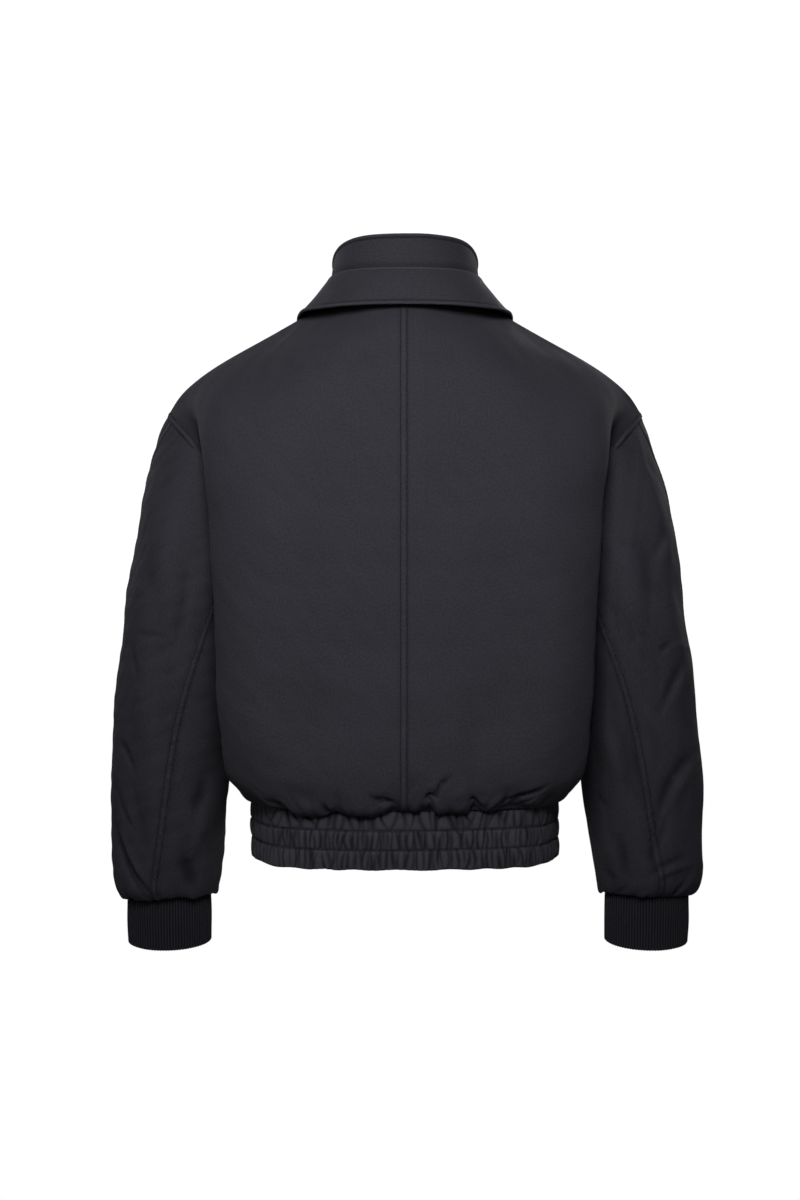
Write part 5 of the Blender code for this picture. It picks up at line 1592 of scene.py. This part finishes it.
def make_sleeves(sleeve, sleeve_in, outer_column, elbow_column):
    """Sleeves with their felled seams, and the cuffs."""
    for side_name, turned in SIDES:
        placed = wrist_shift(sleeve, side_name)
        smooth = turned(placed)
        out = -grid_normals(smooth, closed=True)
        if side_name == "right":
            out = -out
        seed = 41 if side_name == "left" else 51
        shaped, rub = sleeve_relief(smooth, out, side_name, outer_column, elbow_column, seed)
        inward = turned(sleeve_in)
        orders = {
            "back": list(range(outer_column, elbow_column + 1)),
            "front": list(range(elbow_column, sleeve.shape[1] - 1)) + list(range(0, outer_column + 1)),
        }
        pieces = {}
        for part, order in orders.items():
            name = "sleeve_%s_%s" % (side_name, part)
            pieces[part] = cloth(name + "_cloth", shaped[:, order], inward[:, order], FINISH["shell_cloth"],
                                 rub[:, order])
        tree = surface_tree(pieces["back"], pieces["front"])
        rows, strips = [], []
        for label, column, pucker in (("outer", outer_column, 0.2), ("elbow", elbow_column, 0.75)):
            strip, lines = felled_strip("seam_%s_%s" % (label, side_name), shaped[2:-WRIST_HOLD, column],
                                        out[2:-WRIST_HOLD, column], -SLEEVE_STRIP_HALF_WIDTH,
                                        SLEEVE_STRIP_HALF_WIDTH, tree, seed + column, pucker)
            strips.append(strip)
            rows += lines
        stitches = stitching("stitching_sleeve_" + side_name, rows, FINISH["thread"])
        for part, order in orders.items():
            name = "sleeve_%s_%s" % (side_name, part)
            declare(pieces[part], smooth[:, order], name)
        make_cuff(placed, side_name, turned)


# ---------------------------------------------------------------- waistband
CHANNEL_LINES = (WAIST_Z, -0.5866, -0.6082, HEM_Z)
BAND_STEP = 0.00075         # metres between columns
BAND_FULLNESS = 1.28        # length of the flat strip over its gathered length
PLEAT_PITCHES = (0.0080, 0.0054, 0.0058)   # channel by channel
PLEAT_SLANTS = (0.0085, 0.0026, 0.0026)
PLEAT_DEPTH = 0.0040
PLEAT_REACH = 0.018         # a pleat is worked out this far to both of its sides
CHANNEL_SAG = 0.0007        # how far the two stitched lines wander
LINE_WIDTH = 0.0009         # of their grooves
FLAT_END = 0.018            # the strip is flat over this distance from the zip


def pleats(around, height, girth, pitch, seed, slanting):
    """Valleys between the elastic's pleats in one channel; height runs from 0 to 1 down the channel."""
    draw = np.random.default_rng(seed)
    valleys = np.zeros(around.shape)
    place = 0.0
    while place < girth:
        width = draw.uniform(0.13, 0.30) * pitch
        deep = draw.uniform(0.45, 1.0)
        slant = draw.normal() * slanting
        middle = draw.uniform(0.1, 0.9)
        span = draw.uniform(0.40, 1.1)
        bow = draw.normal() * 0.0016
        start, stop = np.searchsorted(around[0], (place - PLEAT_REACH, place + PLEAT_REACH))
        down = height[:, start:stop]
        off = np.abs(around[:, start:stop] - place - slant * (down - 0.5) - bow * np.sin(np.pi * down))
        valley = deep * np.exp(-(off / width) ** 1.25 - ((down - middle) / span) ** 2)
        valleys[:, start:stop] = valleys[:, start:stop] + valley * (1 - valleys[:, start:stop])
        place += pitch * draw.uniform(0.40, 1.45)
    return 1 - valleys


def make_waistband(back, front):
    """The elastic waistband: three stitched channels of uneven pleats, from front edge to front edge."""
    half = np.concatenate([back[0], front[0][::-1][1:]])
    row = np.concatenate([mirror(half[::-1])[:-1], half]) * (1, 1, 0)
    along = chord_knots(row)
    girth = along[-1]
    count = int(round(girth / BAND_STEP))
    at = np.linspace(0, girth, count + 1)
    line = read_along(row, along, at)
    line[8:-8, :2] = np.column_stack([np.convolve(line[:, k], np.ones(9) / 9, "same")[8:-8] for k in range(2)])
    heights = np.linspace(WAIST_Z - SEAM_GAP / 2, HEM_Z, ROWS_BAND + 1)
    smooth = np.array([line + (0, 0, z) for z in heights])
    out = facing_back(grid_normals(smooth), 0, count // 2)
    around = np.repeat(at[None], len(heights), axis=0)
    relief = np.zeros(around.shape)
    rub = np.zeros(around.shape)
    z = smooth[..., 2]
    sag = CHANNEL_SAG * np.sin(at / girth * 2 * np.pi * 3 + 0.7)[None]
    for number, (pitch, slant) in enumerate(zip(PLEAT_PITCHES, PLEAT_SLANTS)):
        top, bottom = CHANNEL_LINES[number], CHANNEL_LINES[number + 1]
        share = (top + (sag if number else 0) - z) / (top - bottom)
        inside = (share >= 0) & (share <= 1)
        share = np.clip(share, 0, 1)
        middle = 4 * share * (1 - share)
        fold = pleats(around, share, girth, pitch, 91 + number, slant)
        height = 0.0005 * middle ** 0.55 + PLEAT_DEPTH * (0.62 + 0.38 * middle ** 0.5) * fold
        relief = np.where(inside, height, relief)
        # A painted highlight on the pleats' ridges and painted shade in their valleys.
        rub = np.where(inside, 0.14 - 1.05 * (1 - fold) ** 1.2, rub)
    for line_z in CHANNEL_LINES[1:3]:
        near_line = bell(z, line_z + sag, LINE_WIDTH)
        relief = relief * (1 - 0.40 * near_line) - 0.0002 * near_line
        # Painted shade along the stitched lines.
        rub -= 0.55 * near_line
    ends = np.minimum(around, girth - around)
    calm = soft_step((ends - FLAT_END) / 0.03)
    relief = relief * (0.25 + 0.75 * calm) - 0.0030
    # Painted shade along the top of the band, under the body's lower edge.
    rub = rub * calm - 0.15 * soft_step((z - WAIST_Z + 0.005) / 0.005)
    relief += unevenness(smooth, (0.04, 0.055, 0.075), 0.0008, 95)
    relief *= soft_step(ends / 0.004)
    shaped = smooth + out * relief[..., None]
    edge_wave = 0.0006 * np.sin(at / 0.0071 + 1.5 * np.sin(at / 0.031))[None]
    shaped[..., 2] += edge_wave * soft_step((HEM_Z + 0.012 - z) / 0.012) * calm
    piece = cloth("waistband_cloth", shaped, -out * BAND_WALL, FINISH["band_cloth"], rub, radius=0.0010,
                  step=5)
    rows = []
    columns = np.arange(count + 1)
    for line_z in CHANNEL_LINES[1:3]:
        index = (heights[0] - line_z - sag[0]) / (heights[0] - heights[-1]) * ROWS_BAND
        low = np.floor(index).astype(int)
        part = (index - low)[:, None]
        path = shaped[low, columns] * (1 - part) + shaped[low + 1, columns] * part
        rows.append((path[4:-4], out[0, 4:-4]))
    stitches = stitching("stitching_waistband", rows, FINISH["thread"])
    declare(piece, smooth, "waistband",
            BAND_FULLNESS)


# ---------------------------------------------------------------- collars
STAND_STITCH = 0.0052       # topstitching below the stand collar's edge
FALL_STITCH = 0.0048        # topstitching above the fall collar's edge
COLLAR_STEPS = 64           # columns from the nape to the shoulder seam, and from there to the front edge
STAND_CALM = 0.026          # the stand collar is smooth up to here, beside the fall collar


def edge_puff(away, stitch):
    """Relief of a turned and topstitched edge: full between edge and stitches, drawn in along them."""
    return 0.0011 * np.sin(np.pi * np.clip(away / stitch, 0, 1)) - 0.0007 * bell(away, stitch, 0.0010)


def edge_highlight_and_wear(away, stitch):
    """Tone of a topstitched edge: lighter on the edge, a painted highlight with some real wear, and painted shade along
    the stitches.
    """
    return 0.22 * bell(away, 0, 0.0022) - 0.60 * bell(away, stitch, 0.0007)


def stitch_path(grid, away, distance, margin):
    """The line of the grid at a distance from an edge."""
    points = []
    for j in range(margin, grid.shape[1] - margin):
        order = np.argsort(away[:, j])
        points.append(read_along(grid[order, j], away[order, j], [distance])[0])
    return np.array(points)


def make_stand(turns):
    """The stand collar with its topstitched edge."""
    stand = stand_grid(turns, between((0, STAND_EDGE_SHARE, 1), STAND_ROWS))
    stand[0] += (0.0, 0.0, SEAM_GAP / 2)
    out = facing_back(grid_normals(stand), 1, len(turns) // 2)
    up = lengths_up(stand)
    from_edge = up[-1] - up
    relief = edge_puff(from_edge, STAND_STITCH)
    relief += unevenness(stand, (0.035, 0.05, 0.07), 0.0007, 81) * soft_step((up - 0.030) / 0.012)
    relief *= soft_step((up - STAND_CALM) / 0.008)
    roll = ROLL_SHARE_BACK + (ROLL_SHARE_FRONT - ROLL_SHARE_BACK) * np.abs(turns) ** 3
    beside_fold = up[-1] * roll + 0.0035
    relief -= 0.0011 * bell(up, beside_fold, 0.0045)
    # Painted shade on the stand just above the fall collar's fold.
    rub = edge_highlight_and_wear(from_edge, STAND_STITCH) - 0.30 * bell(up, beside_fold + 0.002, 0.0035)
    finish_collar("stand", stand, out, relief, rub, from_edge, STAND_STITCH)
    return stand, out


def make_fall(turns):
    """The fall collar: its fold beside the stand collar, and its free, topstitched edge."""
    fall = fall_grid(turns, between((0, FALL_EDGE_SHARE, 1), FALL_ROWS)[1:])
    for _ in range(4):
        middle = (fall[FOLD_END - 2:FOLD_END + 4] + fall[FOLD_END:FOLD_END + 6]) / 2
        fall[FOLD_END - 1:FOLD_END + 5] = (fall[FOLD_END - 1:FOLD_END + 5] + middle) / 2
    out = facing_back(grid_normals(fall), -1, len(turns) // 2)
    down = lengths_up(fall)
    from_edge = down[-1] - down
    relief = edge_puff(from_edge, FALL_STITCH) + unevenness(fall, (0.03, 0.045, 0.06, 0.09), 0.0007, 83)
    relief *= soft_step((down - down[FOLD_END]) / 0.012)
    # A painted highlight along the crest of the fold, with some real wear there.
    rub = edge_highlight_and_wear(from_edge, FALL_STITCH) + 0.55 * bell(down, down[FOLD_CREST], 0.0018)
    finish_collar("fall", fall, out, relief, rub, from_edge, FALL_STITCH)


def finish_collar(name, grid, out, relief, rub, from_edge, stitch):
    """A collar's cloth and its topstitching."""
    shaped = grid + out * relief[..., None]
    piece = cloth(name + "_collar_cloth", shaped, -out * COLLAR_WALL, FINISH["collar_cloth"], rub, radius=0.0010,
                  step=3)
    path = stitch_path(shaped, from_edge, stitch, 3)
    stitches = stitching("stitching_" + name, [(path, out[-3, 3:-3])], FINISH["thread"])
    declare(piece, grid, name + "_collar")


# ---------------------------------------------------------------- zip
TOOTH_PITCH = 0.0026
TOOTH_SIZE = (0.0024, 0.0019, 0.0011)   # across, through and along the zip
TOOTH_SHIFT = 0.0007                    # each row of teeth stands this far to its own side
TOOTH_FACES = ((0, 1, 3, 2), (4, 6, 7, 5), (0, 4, 5, 1), (2, 3, 7, 6), (0, 2, 6, 4), (1, 5, 7, 3))
TAPE_COLUMNS = 9
BAND_ROWS_AT_ZIP = 8


def zip_line(front, front_out, stand, stand_out):
    """Rows of the front edge from the hem to the collar's top, their normals and their walls."""
    band = [front[0] * (1, 1, 0) + (0, 0, z) for z in np.linspace(HEM_Z, WAIST_Z - SEAM_GAP / 2, BAND_ROWS_AT_ZIP)]
    edge = slice(-1, -3, -1)
    rows = [line[:2] for line in band] + [line[:2] for line in front[1:]] + [line[edge] for line in stand[1:]]
    normals = [unit(front_out[8][:2] * (1, 1, 0))] * len(band) + [line[:2] for line in front_out[1:]]
    normals = np.array(normals + [line[edge] for line in stand_out[1:]])
    walls = [BAND_WALL] * len(band) + [PANEL_WALL] * (len(front) - 1) + [COLLAR_WALL] * (len(stand) - 1)
    throat = len(band) + len(front) - 2
    corner = unit(normals[throat] + stand_out[0, edge])
    walls[throat] = COLLAR_WALL / (normals[throat, 0] @ corner[0])
    normals[throat] = corner
    normals[:, 0, 0] = 0.0
    return rows, normals, walls


def make_tapes(rows, normals, walls):
    """The two tapes behind the front edges."""
    tape = strip_at(rows, normals, walls, np.linspace(TAPE_INNER_X, TAPE_OUTER_X, TAPE_COLUMNS))
    inward = facing_back(-grid_normals(tape) * TAPE_WALL, 3, 1)
    for side_name, turned in SIDES:
        piece = cloth("zip_tape_%s_cloth" % side_name, turned(tape), turned(inward), FINISH["zip_tape"], 0.0,
                      radius=0.0003, step=2)
        declare(piece, turned(tape), "zip_tape_" + side_name)


def tooth_corners(centre, direction, side):
    """Corners of a tooth: a block that is narrower on the side where it grips its tape."""
    climb = unit(np.cross((1.0, 0.0, 0.0), direction))
    wide, deep, tall = TOOTH_SIZE
    corners = []
    for x in (-1, 1):
        x_reach, z_reach = (x * wide * 0.5, tall * 0.5) if x == side else (x * wide * 0.42, tall * 0.36)
        for y in (-1, 1):
            for z in (-1, 1):
                corners.append(centre + (x_reach, 0, 0) + direction * y * deep / 2 + climb * z * z_reach)
    return corners


def make_teeth(rows, normals, walls):
    """The closed teeth, up to the slider."""
    line = np.array([(0.0, row[0, 1], row[0, 2]) for row in rows])
    climb = chord_knots(line)
    top = climb[-1] - SLIDER_DROP + SLIDER_HEIGHT / 2 - WEB_HEIGHT - 0.0004
    at = np.arange(BOX_HEIGHT + 2 * SEAM_GAP + TOOTH_SIZE[2], top, TOOTH_PITCH / 2)
    facing = unit(read_along(unit(normals[:, 0] * (0, 1, 1)), climb, at))
    deep = np.interp(at, climb, walls) / 2 + 0.0001
    teeth = bmesh.new()
    for number, (point, direction) in enumerate(zip(read_along(line, climb, at), facing)):
        side = 1 if number % 2 else -1
        centre = point - direction * deep[number] + (side * TOOTH_SHIFT, 0, 0)
        verts = [teeth.verts.new(corner) for corner in tooth_corners(centre, direction, side)]
        for face in TOOTH_FACES:
            teeth.faces.new([verts[i] for i in face])
    bmesh.ops.recalc_face_normals(teeth, faces=teeth.faces)
    mesh = bpy.data.meshes.new("zip_teeth_row")
    teeth.to_mesh(mesh)
    teeth.free()
    mesh.materials.append(FINISH["zip_metal"])
    piece = add_object("zip_teeth_row", mesh)
    soften(piece, 0.00022)
    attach(piece, "jacket")
    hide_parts("zip_teeth")


def make_zip(front, front_out, stand, stand_out):
    """Tapes and teeth behind the front edges; slider, pull and box keep their form."""
    line = zip_line(front, front_out, stand, stand_out)
    make_tapes(*line)
    make_teeth(*line)
    for name in ("zip_box", "zip_slider", "zip_pull"):
        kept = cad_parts[name]
        for place in kept.material_slots:
            place.material = FINISH["zip_metal"]
        soften(kept, 0.00025)


def soften(piece, width):
    """Rounds the sharp edges of a metal piece."""
    bevel = piece.modifiers.new("worn edges", "BEVEL")
    bevel.width = width
    bevel.segments = 2
    bevel.limit_method = "ANGLE"
    bevel.angle_limit = math.radians(40)


# ---------------------------------------------------------------- studio
FLOOR_Z = -1.45
FLOOR_REACH = 14.0
Lamp = namedtuple("Lamp", "name x y z aim_z size power spread")
LAMPS = (
    Lamp("back_key", 0.10, 1.85, 0.70, -0.25, 0.8, 4.2, 56),
    Lamp("back_left", 1.80, 1.20, 0.35, -0.12, 0.6, 0.40, 48),
    Lamp("back_right", -1.80, 1.20, 0.35, -0.12, 0.6, 0.16, 48),
    Lamp("front_key", -0.10, -1.85, 0.65, -0.28, 0.7, 3.0, 54),
    Lamp("front_left", 1.30, -1.60, 0.35, -0.15, 0.6, 0.45, 48),
    Lamp("front_right", -1.30, -1.60, 0.35, -0.15, 0.6, 0.70, 48),
)


def seen_or_lit(tree, lit, seen):
    """One shader for what is lit and another for what the camera sees straight."""
    path = node(tree, "ShaderNodeLightPath")
    return node(tree, "ShaderNodeMixShader", i0=path.outputs["Is Camera Ray"], i1=lit.outputs[0],
                i2=seen.outputs[0]).outputs[0]


def make_camera():
    """Camera behind the jacket, at the photo's angle."""
    view = bpy.data.cameras.new("camera")
    view.sensor_fit = "VERTICAL"
    view.sensor_height = SENSOR_HEIGHT
    view.lens = CAMERA_LENS
    view.clip_end = 50.0
    camera = add_object("camera", view)
    camera.location = (CAMERA_X, CAMERA_Y, CAMERA_Z)
    camera.rotation_euler = (math.radians(90 - CAMERA_DIP), 0.0, math.pi)
    bpy.context.scene.camera = camera
    bpy.context.scene.view_settings.view_transform = "Standard"


def make_floor():
    """Plain pale floor, white where the camera sees it."""
    mesh = bpy.data.meshes.new("floor")
    corners = [(x * FLOOR_REACH, y * FLOOR_REACH, FLOOR_Z) for x, y in ((-1, -1), (1, -1), (1, 1), (-1, 1))]
    mesh.from_pydata(corners, [], [(0, 1, 2, 3)])
    add_object("floor", mesh)
    pale = bpy.data.materials.new("pale floor")
    tree = emptied(pale)
    matt = node(tree, "ShaderNodeBsdfDiffuse", Color=rgb(0.85, 0.85, 0.86))
    bright = node(tree, "ShaderNodeEmission", Color=rgb(1.0, 1.0, 1.0), Strength=1.0)
    node(tree, "ShaderNodeOutputMaterial", Surface=seen_or_lit(tree, matt, bright))
    mesh.materials.append(pale)


def make_lights():
    """A low even light all round, and soft lamps."""
    world = bpy.data.worlds.new("studio")
    bpy.context.scene.world = world
    tree = emptied(world)
    seen = node(tree, "ShaderNodeBackground", Color=rgb(1.0, 1.0, 1.0), Strength=1.05)
    lit = node(tree, "ShaderNodeBackground", Color=rgb(0.93, 0.95, 1.0), Strength=0.085)
    node(tree, "ShaderNodeOutputWorld", Surface=seen_or_lit(tree, lit, seen))
    for lamp in LAMPS:
        light = bpy.data.lights.new(lamp.name, "AREA")
        light.shape = "DISK"
        light.size = lamp.size
        light.energy = lamp.power
        light.spread = math.radians(lamp.spread)
        made = add_object(lamp.name, light)
        made.location = (lamp.x, lamp.y, lamp.z)
        aim = Vector((0.0, 0.0, lamp.aim_z)) - made.location
        made.rotation_euler = aim.to_track_quat("-Z", "Y").to_euler()


make_camera()
make_floor()
make_lights()
back_skin, front_skin, front_normals, sleeve_grid, sleeve_inward, outer_seam, elbow_seam = make_body()
make_sleeves(sleeve_grid, sleeve_inward, outer_seam, elbow_seam)
make_waistband(back_skin, front_skin)
collar_turns = both_sides(neck_turns(COLLAR_STEPS, COLLAR_STEPS))
stand_made, stand_normals = make_stand(collar_turns)
make_fall(collar_turns)
make_zip(front_skin, front_normals, stand_made, stand_normals)
